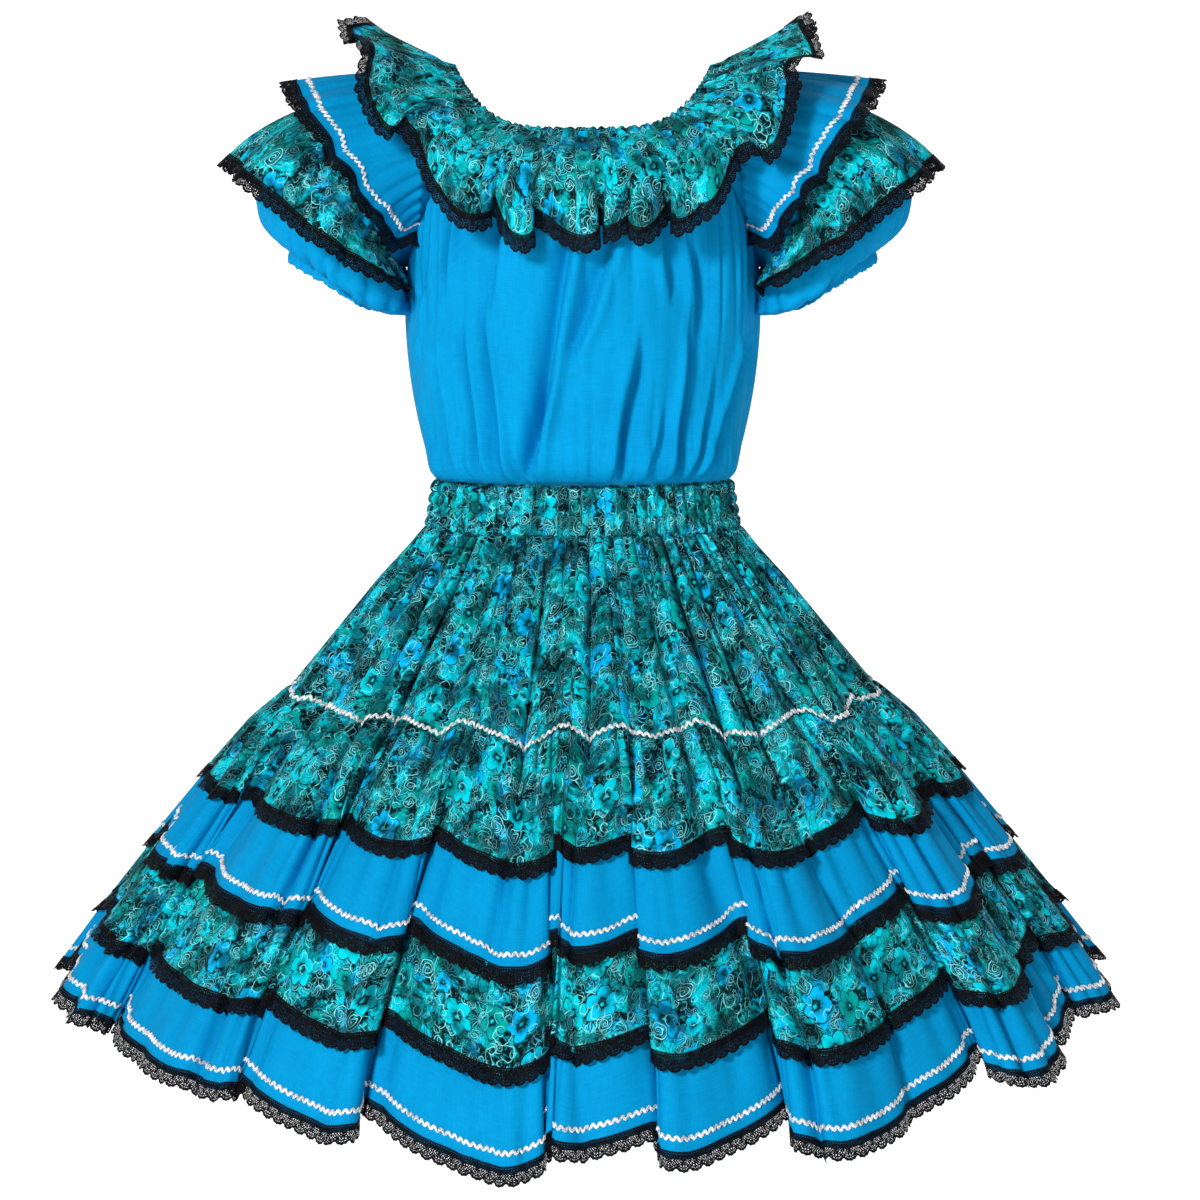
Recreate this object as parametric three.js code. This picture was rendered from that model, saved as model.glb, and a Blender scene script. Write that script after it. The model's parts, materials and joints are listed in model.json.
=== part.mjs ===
// A square dance dress, worn shape and hollow: a gathered bodice, puff sleeves with two flounces each, a neck
// ruffle, an elastic waistband and a skirt of five tiers, trimmed with lace and rick-rack braid.
// Millimetres, +Z up, the front towards -Y, the wearer's left towards +X. The origin is the centre of the waist,
// level with the top of the waistband. Angles go round from the front (0) through the wearer's left side (90).
import * as THREE from "three";

// ---- driving dimensions -------------------------------------------------------------------------------------
const CLOTH = 1.6; // wall of the cloth
const SEAM = 0.4; // gap that parts two pieces at a seam
const TRIM = 1.0; // thickness of lace and braid
const TRIM_LIFT = 1.0; // how far trim lies off the wall it is sewn on
const LACE_ON = 4; // how much of a lace lies on its flounce
const LACE_FREE = 10; // how much of it hangs past the edge
const BRAID = 5; // width of the rick-rack braid

const WAIST = { side: 131, front: 95, back: 95 };
const BAND = { top: -1, bottom: -38.9, side: 138, front: 113, puff: 3.5 };

// The skirt's levels, from the waistband down: height, half width, half depth, fold depth, fold roll, hem wave and
// swing, which is how much higher its sides hang than its front and back.
const LEVELS = {
  top:       { z: -41, side: 138, front: 113, depth: 2, roll: 0.1, wave: 0, swing: 0 },
  hip:       { z: -94, side: 181, front: 172, depth: 10, roll: 0.4, wave: 3, swing: 0 },
  seam:      { z: -193, side: 261, front: 261, depth: 20, roll: 0.65, wave: 9, swing: 0 },
  second:    { z: -226, side: 295, front: 294, depth: 26, roll: 0.75, wave: 12, swing: 3 },
  third:     { z: -266, side: 323, front: 321, depth: 31, roll: 0.85, wave: 16, swing: 8 },
  hem2:      { z: -276, side: 330, front: 328, depth: 32, roll: 0.86, wave: 17, swing: 9 },
  fourth:    { z: -334, side: 370, front: 368, depth: 36, roll: 0.92, wave: 21, swing: 15 },
  hem3:      { z: -345, side: 378, front: 376, depth: 37, roll: 0.93, wave: 22, swing: 15.3 },
  fifth:     { z: -400, side: 417, front: 413, depth: 39, roll: 0.94, wave: 23, swing: 17 },
  hem4:      { z: -411, side: 425, front: 421, depth: 40, roll: 0.94, wave: 23.5, swing: 19.4 },
  hem5:      { z: -475, side: 460, front: 460, depth: 43, roll: 0.98, wave: 24, swing: 33 },
};
// Each tier hangs from one level to another; out is how far its face stands off the skirt's own surface there.
const TIERS = [
  { name: "skirt_tier_1", cloth: "print", rows: [["top", 0], ["hip", 0], ["seam", 0]], braid: 0 },
  {
    name: "skirt_tier_2", cloth: "print", startsAtSeam: 1, lace: 1,
    rows: [["seam", -0.4], ["second", 1], ["third", 2.1], ["hem2", 3.4]],
  },
  { name: "skirt_tier_3", cloth: "blue", rows: [["third", 0], ["fourth", 2.1], ["hem3", 3.4]], lace: 1, braid: 1 },
  { name: "skirt_tier_4", cloth: "print", rows: [["fourth", 0], ["fifth", 2.1], ["hem4", 3.4]], lace: 1 },
  { name: "skirt_tier_5", cloth: "blue", rows: [["fifth", 0], ["hem5", 2.4]], lace: 1, braid: 1 },
];
const BRAID_ABOVE_LACE = 12; // from the braid's middle to the top of the lace below it

// The skirt's rolled folds: where each starts, which way its ridge rolls (1 towards larger angles), its share of
// the fold depth, and how much lower its hem hangs. The last row closes the round.
const FOLDS = [
  { start: -92, roll: 1, depth: 0.45, hang: 0.35 },
  { start: -62, roll: 1, depth: 0.55, hang: 0.45 },
  { start: -37, roll: 1, depth: 0.75, hang: 0.7 },
  { start: -23, roll: 1, depth: 1.1, hang: 1.2 },
  { start: -3, roll: -1, depth: 0.5, hang: 0.5 },
  { start: 7, roll: -1, depth: 0.8, hang: 0.8 },
  { start: 21, roll: -1, depth: 1.1, hang: 1.2 },
  { start: 47, roll: -1, depth: 1.0, hang: 1.0 },
  { start: 68, roll: -1, depth: 0.6, hang: 0.5 },
  { start: 93, roll: -1, depth: 0.8, hang: 0.7 },
  { start: 117, roll: -1, depth: 0.8, hang: 0.7 },
  { start: 136, roll: -1, depth: 1.1, hang: 1.1 },
  { start: 161, roll: -1, depth: 0.7, hang: 0.6 },
  { start: 178, roll: 1, depth: 0.9, hang: 0.9 },
  { start: 200, roll: 1, depth: 1.1, hang: 1.1 },
  { start: 226, roll: 1, depth: 0.8, hang: 0.7 },
  { start: 244, roll: 1, depth: 1.0, hang: 1.0 },
  { start: 268 },
];
const FOLD_STEPS = [0, 0.28, 0.5, 0.68, 0.84]; // where a fold has its columns of points

// Neckline and neck ruffle. The ruffle stands up on the shoulders and hangs at the front and back.
const NECK = { side: 112, front: 90, back: 92, z: 306, rise: 58, power: 4 };
const RUFFLE = {
  side: 192, front: 134, back: 132, fullness: 0.55, z: 223, rise: 173, power: 3.4, stand: 13, fold: 20, hang: 20,
  wing: 15, wingAt: 62, wingSpread: 18, // the shoulder wings reach further out, most at this angle
};
const RUFFLE_FOLDS = [
  { start: -92, roll: 1, depth: 0.8, hang: 0.6 },
  { start: -72, roll: 1, depth: 0.8, hang: 0.8 },
  { start: -50, roll: 1, depth: 1.15, hang: 1.2 },
  { start: -25, roll: 1, depth: 1.0, hang: 1.1 },
  { start: -10, roll: 1, depth: 0.75, hang: 1.0 },
  { start: 6, roll: -1, depth: 0.75, hang: 0.9 },
  { start: 22, roll: -1, depth: 1.0, hang: 1.0 },
  { start: 44, roll: -1, depth: 1.2, hang: 1.0 },
  { start: 66, roll: -1, depth: 1.0, hang: 0.7 },
  { start: 90, roll: -1, depth: 0.8, hang: 0.6 },
  { start: 112, roll: -1, depth: 1.0, hang: 0.9 },
  { start: 134, roll: -1, depth: 1.1, hang: 1.1 },
  { start: 157, roll: -1, depth: 0.9, hang: 0.9 },
  { start: 178, roll: 1, depth: 1.0, hang: 1.0 },
  { start: 200, roll: 1, depth: 1.1, hang: 1.1 },
  { start: 222, roll: 1, depth: 0.9, hang: 0.8 },
  { start: 246, roll: 1, depth: 0.8, hang: 0.6 },
  { start: 268 },
];
const RUFFLE_ROLL = 0.8;
const RUFFLE_SEAT = { out: 1.6, up: 1 }; // where its heading lies, off the neckline that the bodice ends on

// Bodice: raglan seams run from the neckline at these angles down to the underarm.
const RAGLAN = { front: 48, back: 132 };
const UNDERARM = { x: 155, y: 4, z: 190 };
const RAGLAN_PULL = { x: 132, front: -92, back: 88, z: 262 }; // the point that bends a raglan seam
const BODICE = {
  hem: 1.4, neckShare: 0.46, columns: 24, sideEase: 11, bust: 26, shoulderBlade: 12, gather: 3.2, gathers: 6,
};
const BODICE_ROWS = [0, 0.07, 0.2, 0.42, 0.66, 0.86, 1];

// Puff sleeve: ovals from the armhole to the cuff, each by its outer point, inner point (x, z) and half depth.
const SLEEVE_OVALS = [
  { name: "shoulder", out: [198, 353], in: [171, 190], depth: 82 },
  { name: "crown", out: [257, 315], in: [177, 176], depth: 84 },
  { name: "fullest", out: [287, 251], in: [178, 159], depth: 78 },
  { name: "cuff", out: [266, 192], in: [180, 147], depth: 52 },
];
const SLEEVE_SIDES = 20;
const RAGLAN_GAP = 3.4; // from the seam line to the sleeve, whose wall lies inside it and the bodice's outside it
const SLEEVE_NECK_TURN = 70; // how far round the armhole the neckline reaches, on each side of the top

// Sleeve flounces: place along the sleeve (0 armhole, 4 cuff) at the top and at the underarm end, for the seam,
// the middle and the hem, how far each stands off the sleeve, and the waves of the hem.
const FLOUNCES = [
  { name: "upper", cloth: "blue", braid: 1, waves: 6, wave: 5, turn: 150,
    rows: [{ top: 0.5, end: 0.2, off: 2.2 }, { top: 1.15, end: 0.45, off: 8 }, { top: 1.75, end: 0.7, off: 25 }] },
  { name: "lower", cloth: "print", braid: 0, waves: 7, wave: 5, turn: 150,
    rows: [{ top: 1.6, end: 0.95, off: 1.2 }, { top: 2.2, end: 1.3, off: 17 }, { top: 2.75, end: 1.7, off: 33 }] },
];
const FLOUNCE_COLUMNS = 24;

const COLOURS = {
  blue: { color: 0x0a84c1, roughness: 0.75 },
  print: { color: 0x0c6b6c, roughness: 0.8 },
  lace: { color: 0x0c0d10, roughness: 0.85 },
  braid: { color: 0xc9cdd2, roughness: 0.35, metalness: 0.7 },
};

// ---- helpers ------------------------------------------------------------------------------------------------
const rad = THREE.MathUtils.degToRad;
const lerp = THREE.MathUtils.lerp;
const range = (n, f) => Array.from({ length: n }, (_, i) => f(i));

// Outward normals of a grid of points, rows going down and columns going round with the angle.
function normalsOf(grid, ring) {
  const last = grid[0].length - 1;
  return grid.map((row, r) =>
    row.map((_, c) => {
      const before = row[c > 0 ? c - 1 : ring ? last : 0];
      const after = row[c < last ? c + 1 : ring ? 0 : last];
      const above = grid[Math.max(r - 1, 0)][c];
      const below = grid[Math.min(r + 1, grid.length - 1)][c];
      return after.clone().sub(before).cross(above.clone().sub(below)).normalize();
    }),
  );
}

// The points moved out along their normals, by one distance or by one for each row.
function movedOut(grid, normals, by) {
  return grid.map((row, r) =>
    row.map((p, c) => p.clone().addScaledVector(normals[r][c], Array.isArray(by) ? by[r] : by)),
  );
}

// A closed mesh whose cross-section is the loop of rows given: outer rows from the top down, then inner rows up.
function meshOf(name, loop, ring, look) {
  const columns = loop[0].length;
  const spans = ring ? columns : columns - 1;
  const rows = loop.length;
  const id = (r, c) => (r % rows) * columns + (c % columns);
  const index = [];
  for (let r = 0; r < rows; r++)
    for (let c = 0; c < spans; c++) {
      // The inner face is cut along the same diagonals as the outer one, so that a thin wall can't cross itself.
      const [a, b, d, e] = [id(r, c), id(r + 1, c), id(r + 1, c + 1), id(r, c + 1)];
      index.push(...(r < Math.floor(rows / 2) ? [a, b, d, a, d, e] : [a, b, e, b, d, e]));
    }
  if (!ring) {
    // The two ends are closed by strips between the outer rows and the inner rows that face them.
    const ends = [
      { c: 0, face: (a, b, d) => index.push(a, b, d) },
      { c: columns - 1, face: (a, b, d) => index.push(a, d, b) },
    ];
    for (const { c, face } of ends)
      for (let r = 0; r < Math.ceil(rows / 2) - 1; r++) {
        const [outUp, outLow, inLow, inUp] = [r, r + 1, rows - 2 - r, rows - 1 - r].map((k) => id(k, c));
        face(outUp, inUp, outLow);
        if (inLow !== outLow) face(outLow, inUp, inLow);
      }
  }
  const geometry = new THREE.BufferGeometry();
  geometry.setAttribute("position", new THREE.Float32BufferAttribute(loop.flat().flatMap((p) => p.toArray()), 3));
  geometry.setIndex(index);
  geometry.computeVertexNormals();
  const mesh = new THREE.Mesh(geometry, new THREE.MeshStandardMaterial({ ...COLOURS[look], name: look }));
  mesh.name = name;
  return mesh;
}

// A wall of cloth: its outer face is the grid moved out by the cloth's thickness, its inner face is the grid.
function cloth(name, grid, ring, look, normals = normalsOf(grid, ring)) {
  const outer = movedOut(grid, normals, CLOTH);
  return { mesh: meshOf(name, [...outer, ...grid.slice().reverse()], ring, look), outer, normals };
}

// A strip of trim on a wall, from one distance to another above (-) or past (+) the wall's lower edge.
function trim(name, wall, from, to, ring, look) {
  const row = (along, out) =>
    wall.outer[0].map((_, c) => {
      // Up the wall's rows from its edge, to the two rows that this distance lies between.
      let low = wall.outer.length - 1;
      let left = along;
      let span = wall.outer[low][c].distanceTo(wall.outer[low - 1][c]);
      while (-left > span && low > 1) {
        left += span;
        low -= 1;
        span = wall.outer[low][c].distanceTo(wall.outer[low - 1][c]);
      }
      const t = 1 + left / span;
      const square = wall.normals[low - 1][c].clone().lerp(wall.normals[low][c], Math.min(t, 1)).normalize();
      return wall.outer[low - 1][c].clone().lerp(wall.outer[low][c], t).addScaledVector(square, out);
    });
  const loop = [row(from, TRIM_LIFT + TRIM), row(to, TRIM_LIFT + TRIM / 2), row(from, TRIM_LIFT)];
  return meshOf(name, loop, ring, look);
}

// ---- folds --------------------------------------------------------------------------------------------------
// One fold: the ridge swells and falls as (1 - cos) and the cloth rolls sideways as sin, so that one flank is
// steep. The two ends of a fold lie in the valleys, whatever its roll, so that folds join smoothly.
function foldColumns(folds, steps) {
  return folds.slice(0, -1).flatMap((fold, i) =>
    steps.map((u) => {
      const lead = rad(fold.roll > 0 ? 281 : 79);
      const width = folds[i + 1].start - fold.start;
      return {
        angle: fold.start + width * u,
        sway: (-width * (Math.sin(2 * Math.PI * u - lead) + Math.sin(lead))) / (2 * Math.PI),
        height: (1 - Math.cos(2 * Math.PI * u)) / 2,
        depth: fold.depth,
        hang: fold.hang,
      };
    }),
  );
}

// A point of an oval ring at an angle, moved out square to the oval; the front and back may differ in depth.
function onOval(oval, degrees, out, z) {
  const [s, c] = [Math.sin(rad(degrees)), Math.cos(rad(degrees))];
  const deep = c >= 0 ? oval.front : oval.back ?? oval.front;
  const square = new THREE.Vector3(s / oval.side, -c / deep, 0).normalize();
  return new THREE.Vector3(oval.side * s, -deep * c, z).addScaledVector(square, out);
}

// ---- skirt --------------------------------------------------------------------------------------------------
const SKIRT_COLUMNS = foldColumns(FOLDS, FOLD_STEPS);

function skirtRow(level) {
  return SKIRT_COLUMNS.map((f) =>
    onOval(
      level,
      f.angle + f.sway * level.roll,
      level.depth * f.depth * (f.height - 0.55),
      level.z + level.wave * (0.5 - f.height * f.hang) + level.swing * Math.sin(rad(f.angle)) ** 2,
    ),
  );
}

function skirt() {
  const names = Object.keys(LEVELS);
  const grid = names.map((name) => skirtRow(LEVELS[name]));
  const normals = normalsOf(grid, true);
  const pieces = [];
  for (const tier of TIERS) {
    const pick = tier.rows.map(([level]) => names.indexOf(level));
    const out = tier.rows.map(([, off]) => off);
    const square = pick.map((i) => normals[i]);
    const inner = movedOut(pick.map((i) => grid[i]), square, out);
    // A tier that starts at a seam, edge to edge with the one above, starts one seam gap lower.
    if (tier.startsAtSeam)
      inner[0] = inner[0].map((p, c) => p.lerp(inner[1][c], (2 * SEAM) / p.distanceTo(inner[1][c])));
    const wall = cloth(tier.name, inner, true, tier.cloth, square);
    pieces.push(wall.mesh);
    if (tier.lace) pieces.push(trim(tier.name + "_lace", wall, -LACE_ON, LACE_FREE, true, "lace"));
    const middle = tier.lace ? -LACE_ON - BRAID_ABOVE_LACE : -BRAID / 2 - 1;
    if (tier.braid !== undefined)
      pieces.push(trim(tier.name + "_braid", wall, middle - BRAID / 2, middle + BRAID / 2, true, "braid"));
  }
  return pieces;
}

// ---- waistband ----------------------------------------------------------------------------------------------
function waistband() {
  const columns = 48;
  const rows = [0, 0.25, 0.5, 0.75, 1];
  const grid = rows.map((t, r) => {
    const swell = r % 2 ? BAND.puff : 0;
    const oval = { side: lerp(WAIST.side, BAND.side, t), front: lerp(WAIST.front, BAND.front, t) };
    return range(columns, (c) => onOval(oval, (360 * c) / columns, swell, lerp(BAND.top, BAND.bottom, t)));
  });
  return cloth("waistband", grid, true, "print").mesh;
}

// ---- neckline and its ruffle --------------------------------------------------------------------------------
const neckHeight = (shape, degrees) => shape.z + shape.rise * Math.abs(Math.sin(rad(degrees))) ** shape.power;
const neckPoint = (degrees, out = 0) => onOval(NECK, degrees, out, neckHeight(NECK, degrees));

function neckRuffle() {
  const columns = foldColumns(RUFFLE_FOLDS, FOLD_STEPS);
  const row = (t) =>
    columns.map((f) => {
      const degrees = f.angle + f.sway * RUFFLE_ROLL * t;
      const top = neckPoint(degrees, RUFFLE_SEAT.out);
      top.z += RUFFLE_SEAT.up;
      // The hem's oval is squarer than an ellipse, so that it passes in front of the sleeves and behind them.
      const low = onOval({ side: RUFFLE.side, front: 1 }, degrees, 0, neckHeight(RUFFLE, degrees));
      low.y = Math.sign(low.y) * Math.abs(low.y) ** RUFFLE.fullness * (low.y < 0 ? RUFFLE.front : RUFFLE.back);
      const p = top.lerp(low, t);
      const fromFront = Math.asin(Math.abs(Math.sin(rad(degrees)))) / rad(1);
      const wing = RUFFLE.wing * t * Math.exp(-(((fromFront - RUFFLE.wingAt) / RUFFLE.wingSpread) ** 2));
      const stand = RUFFLE.stand * Math.sin(Math.PI * t) + wing;
      const outward = onOval({ side: 1, front: 1 }, degrees, 0, 0.35);
      p.addScaledVector(outward, stand + RUFFLE.fold * f.depth * (f.height - 0.45) * t);
      p.z += RUFFLE.hang * t * (0.5 - f.height * f.hang);
      return p;
    });
  const wall = cloth("neck_ruffle", [row(0), row(0.45), row(1)], true, "print");
  return [wall.mesh, trim("neck_ruffle_lace", wall, -LACE_ON, LACE_FREE, true, "lace")];
}

// ---- bodice -------------------------------------------------------------------------------------------------
const flip = (p, side) => new THREE.Vector3(p.x * side, p.y, p.z);

// The raglan seam of the wearer's left, from the neckline (0) to the underarm (1); half is "front" or "back".
function raglan(half, t) {
  return new THREE.QuadraticBezierCurve3(
    neckPoint(RAGLAN[half]),
    new THREE.Vector3(RAGLAN_PULL.x, RAGLAN_PULL[half], RAGLAN_PULL.z),
    new THREE.Vector3(UNDERARM.x, UNDERARM.y, UNDERARM.z),
  ).getPoint(t);
}

function bodice(half) {
  const front = half === "front";
  const columns = BODICE.columns;
  const fullness = front ? BODICE.bust : BODICE.shoulderBlade;
  const grid = BODICE_ROWS.slice().reverse().map((v) =>
    range(columns + 1, (c) => {
      // u goes from one side seam (-1) to the other (1), with the angle.
      const u = -1 + (2 * c) / columns;
      const across = Math.abs(u);
      const side = (Math.sign(u) || 1) * (front ? 1 : -1);
      const edge = across <= BODICE.neckShare
        ? neckPoint(front ? (RAGLAN.front * across) / BODICE.neckShare
          : 180 - ((180 - RAGLAN.back) * across) / BODICE.neckShare)
        : raglan(half, (across - BODICE.neckShare) / (1 - BODICE.neckShare));
      const high = flip(edge, side);
      const turn = front ? 89.6 * u : 180 + 89.6 * u;
      const low = onOval(WAIST, turn, 0, BODICE.hem);
      const p = low.lerp(high, v);
      const ease = (BODICE.sideEase + fullness * Math.cos(rad(90 * u)) ** 2) * Math.sin(Math.PI * v) ** 0.7;
      // The waist's gathers start just above the seam and fade out towards the bust and the side seams.
      const fade = Math.max(0, 1 - 1.6 * v) * Math.min(1, 9 * v) * Math.cos(rad(90 * u)) ** 0.5;
      const gather = BODICE.gather * Math.cos(Math.PI * BODICE.gathers * 2 * u) * fade;
      p.addScaledVector(onOval({ side: 1, front: 1 }, turn, 0, 0), ease + gather);
      if (across === 1) p.y += front ? -SEAM : SEAM;
      return p;
    }),
  );
  return cloth("bodice_" + half, grid, false, "blue").mesh;
}

// ---- sleeves ------------------------------------------------------------------------------------------------
// The armhole of the wearer's left: from the top of the shoulder (0) by the front (90) and underarm (180).
function armhole(turn) {
  const half = turn <= 180 ? "front" : "back";
  const down = turn <= 180 ? turn : 360 - turn;
  if (down > SLEEVE_NECK_TURN) return raglan(half, (down - SLEEVE_NECK_TURN) / (180 - SLEEVE_NECK_TURN));
  return neckPoint(90 + ((RAGLAN[half] - 90) * down) / SLEEVE_NECK_TURN);
}

// A point of the sleeve: place 0 is the armhole, 1 to 4 are the ovals.
function sleevePoint(place, turn) {
  const ring = (k) => {
    if (k === 0) return armhole(((turn % 360) + 360) % 360);
    const { out, in: inner, depth } = SLEEVE_OVALS[k - 1];
    const [c, s] = [Math.cos(rad(turn)), Math.sin(rad(turn))];
    const middle = (i) => (out[i] + inner[i]) / 2 + ((out[i] - inner[i]) / 2) * c;
    return new THREE.Vector3(middle(0), -depth * s, middle(1));
  };
  const k = Math.min(Math.floor(place), SLEEVE_OVALS.length - 1);
  return ring(k).lerp(ring(k + 1), place - k);
}

function sleeveSquare(place, turn) {
  const h = 0.05;
  const along = sleevePoint(Math.min(place + h, 4), turn).sub(sleevePoint(Math.max(place - h, 0), turn));
  const round = sleevePoint(place, turn + 3).sub(sleevePoint(place, turn - 3));
  return round.cross(along).normalize();
}

// Rows and columns for the wearer's right are the mirror of the left, with the columns in the other order.
const mirrored = (grid, side) => (side > 0 ? grid : grid.map((row) => row.map((p) => flip(p, -1)).reverse()));

function sleeve(side, hand) {
  const rows = [0, 1, 2, 3, 4].map((place) =>
    range(SLEEVE_SIDES, (c) => {
      const turn = (-360 * c) / SLEEVE_SIDES;
      const p = sleevePoint(place, turn);
      // The armhole edge stands a seam gap off the bodice, and the sleeve's wall lies inside its outline.
      if (place === 0) p.addScaledVector(sleevePoint(1, turn).sub(p).normalize(), RAGLAN_GAP);
      return p;
    }),
  );
  const grid = mirrored(rows, side);
  return cloth("sleeve_" + hand, movedOut(grid, normalsOf(grid, true), -CLOTH), true, "blue").mesh;
}

function flounce(side, hand, shape) {
  const rows = shape.rows.map(({ top, end, off }, r) =>
    range(FLOUNCE_COLUMNS + 1, (c) => {
      const across = 1 - (2 * c) / FLOUNCE_COLUMNS; // 1 at the front end, -1 at the back end
      const turn = shape.turn * across;
      const place = lerp(top, end, Math.abs(across) ** 1.6);
      const fade = 1 - THREE.MathUtils.smoothstep(Math.abs(across), 0.55, 1);
      const wave = r === 0 ? 0 : (shape.wave * r * Math.cos(Math.PI * shape.waves * across)) / 2;
      const stand = SEAM + (off - SEAM) * (0.16 + 0.84 * fade) + wave * (0.3 + 0.7 * fade);
      return sleevePoint(place, turn).addScaledVector(sleeveSquare(place, turn), stand);
    }),
  );
  const name = `sleeve_${hand}_${shape.name}_flounce`;
  const wall = cloth(name, mirrored(rows, side), false, shape.cloth);
  const pieces = [wall.mesh, trim(name + "_lace", wall, -LACE_ON, LACE_FREE, false, "lace")];
  const middle = -LACE_ON - BRAID_ABOVE_LACE;
  if (shape.braid)
    pieces.push(trim(name + "_braid", wall, middle - BRAID / 2, middle + BRAID / 2, false, "braid"));
  return pieces;
}

// ---- the dress ----------------------------------------------------------------------------------------------
const dress = new THREE.Group();
dress.add(bodice("front"), bodice("back"), waistband(), ...neckRuffle(), ...skirt());
for (const [side, hand] of [[1, "left"], [-1, "right"]]) {
  dress.add(sleeve(side, hand));
  for (const shape of FLOUNCES) dress.add(...flounce(side, hand, shape));
}

export default dress;
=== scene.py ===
# %% [markdown]
# # A square dance dress, dressed over its solid frame
# The frame holds every piece of the dress at its real size as a plain hollow wall. This lesson puts thin
# cloth on those walls: folds, gathers and creases as surfaces worked out with numpy, a printed and a plain
# cotton, cut lace with real threads, and rick-rack braid. Sizes are metres, +Z is up, the front looks towards
# -Y, and +X is the wearer's left. The origin is the middle of the waist, at the top of the waistband.

# %% Load the frame
import json
import math

import bpy
import numpy as np
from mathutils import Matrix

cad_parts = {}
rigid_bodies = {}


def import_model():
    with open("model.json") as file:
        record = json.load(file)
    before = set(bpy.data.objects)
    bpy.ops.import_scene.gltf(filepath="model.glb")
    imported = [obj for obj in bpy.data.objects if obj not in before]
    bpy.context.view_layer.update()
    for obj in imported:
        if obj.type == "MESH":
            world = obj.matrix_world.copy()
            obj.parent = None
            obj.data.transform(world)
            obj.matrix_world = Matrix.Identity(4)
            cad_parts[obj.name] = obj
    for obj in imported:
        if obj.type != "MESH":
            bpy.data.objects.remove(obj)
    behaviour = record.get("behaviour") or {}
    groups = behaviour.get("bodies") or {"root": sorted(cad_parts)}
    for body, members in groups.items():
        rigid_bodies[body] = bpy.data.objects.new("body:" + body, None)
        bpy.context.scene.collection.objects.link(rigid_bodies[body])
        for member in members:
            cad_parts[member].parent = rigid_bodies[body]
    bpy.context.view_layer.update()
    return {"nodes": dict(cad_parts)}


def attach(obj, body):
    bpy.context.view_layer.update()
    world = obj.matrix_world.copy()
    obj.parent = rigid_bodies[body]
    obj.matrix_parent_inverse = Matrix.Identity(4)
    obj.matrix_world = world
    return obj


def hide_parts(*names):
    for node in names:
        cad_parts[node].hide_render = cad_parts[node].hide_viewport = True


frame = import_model()
MM = 0.001
print("frame nodes:", len(frame["nodes"]))

# %% [markdown]
# ## Camera, floor and light
# The camera stands in front of the dress, a little above the waist, and looks slightly down, so that the
# tiers open into shallow arcs. A pale sweep of floor runs up behind the dress, as in a studio. Soft lights
# from both sides give the folds their shape, one from behind lights the rims, and an even sky fills the
# shadows.

# %% Camera
CAMERA_AWAY = 2.5
CAMERA_UP = 0.18
CAMERA_PITCH = math.radians(6.61)
CAMERA_TURN = math.radians(0.35)
SENSOR_MM = 36
LENS_MM = 83.3

camera_data = bpy.data.cameras.new("camera")
camera_data.sensor_width = SENSOR_MM
camera_data.lens = LENS_MM
camera = bpy.data.objects.new("camera", camera_data)
camera.location = (0, -CAMERA_AWAY, CAMERA_UP)
camera.rotation_euler = (math.pi / 2 - CAMERA_PITCH, 0, -CAMERA_TURN)
bpy.context.scene.collection.objects.link(camera)
bpy.context.scene.camera = camera
bpy.context.scene.view_settings.view_transform = "Standard"


# %% Floor and light
def put_mesh(name, points, faces, smooth=True):
    """A mesh object from an (n, 3) array of points and an (m, 3 or 4) array of faces."""
    mesh = bpy.data.meshes.new(name)
    mesh.from_pydata(np.asarray(points).tolist(), [], np.asarray(faces).tolist())
    mesh.polygons.foreach_set("use_smooth", np.full(len(mesh.polygons), smooth))
    mesh.update()
    piece = bpy.data.objects.new(name, mesh)
    bpy.context.scene.collection.objects.link(piece)
    return piece


FLOOR_Z = -0.90
SWEEP_WIDE = 14.0
SWEEP_FRONT = -5.0
SWEEP_BACK = 2.6
SWEEP_HIGH = 6.0
SWEEP_BEND = 1.6
PAPER = (0.93, 0.93, 0.93, 1)
PAPER_GLOW = 0.55
SKY_STRENGTH = 0.2


def studio_sweep():
    """A floor that bends up into a wall: flat, then a quarter circle, then upright."""
    turn = np.linspace(0, math.pi / 2, 24)
    y = np.concatenate([[SWEEP_FRONT], SWEEP_BACK + SWEEP_BEND * np.sin(turn), [SWEEP_BACK + SWEEP_BEND]])
    z = np.concatenate([[FLOOR_Z], FLOOR_Z + SWEEP_BEND * (1 - np.cos(turn)), [FLOOR_Z + SWEEP_HIGH]])
    left = np.stack([np.full_like(y, -SWEEP_WIDE / 2), y, z], 1)
    right = left + [SWEEP_WIDE, 0, 0]
    n = len(y)
    k = np.arange(n - 1)
    return put_mesh("studio_sweep", np.concatenate([left, right]), np.stack([k, k + n, k + n + 1, k + 1], 1))


floor = studio_sweep()
floor_look = bpy.data.materials.new("pale_paper")
floor_look.use_nodes = True
paper = floor_look.node_tree.nodes["Principled BSDF"]
paper.inputs["Base Color"].default_value = PAPER
paper.inputs["Roughness"].default_value = 0.9
paper.inputs["Emission Color"].default_value = (1, 1, 1, 1)
paper.inputs["Emission Strength"].default_value = PAPER_GLOW
floor.data.materials.append(floor_look)

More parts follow.
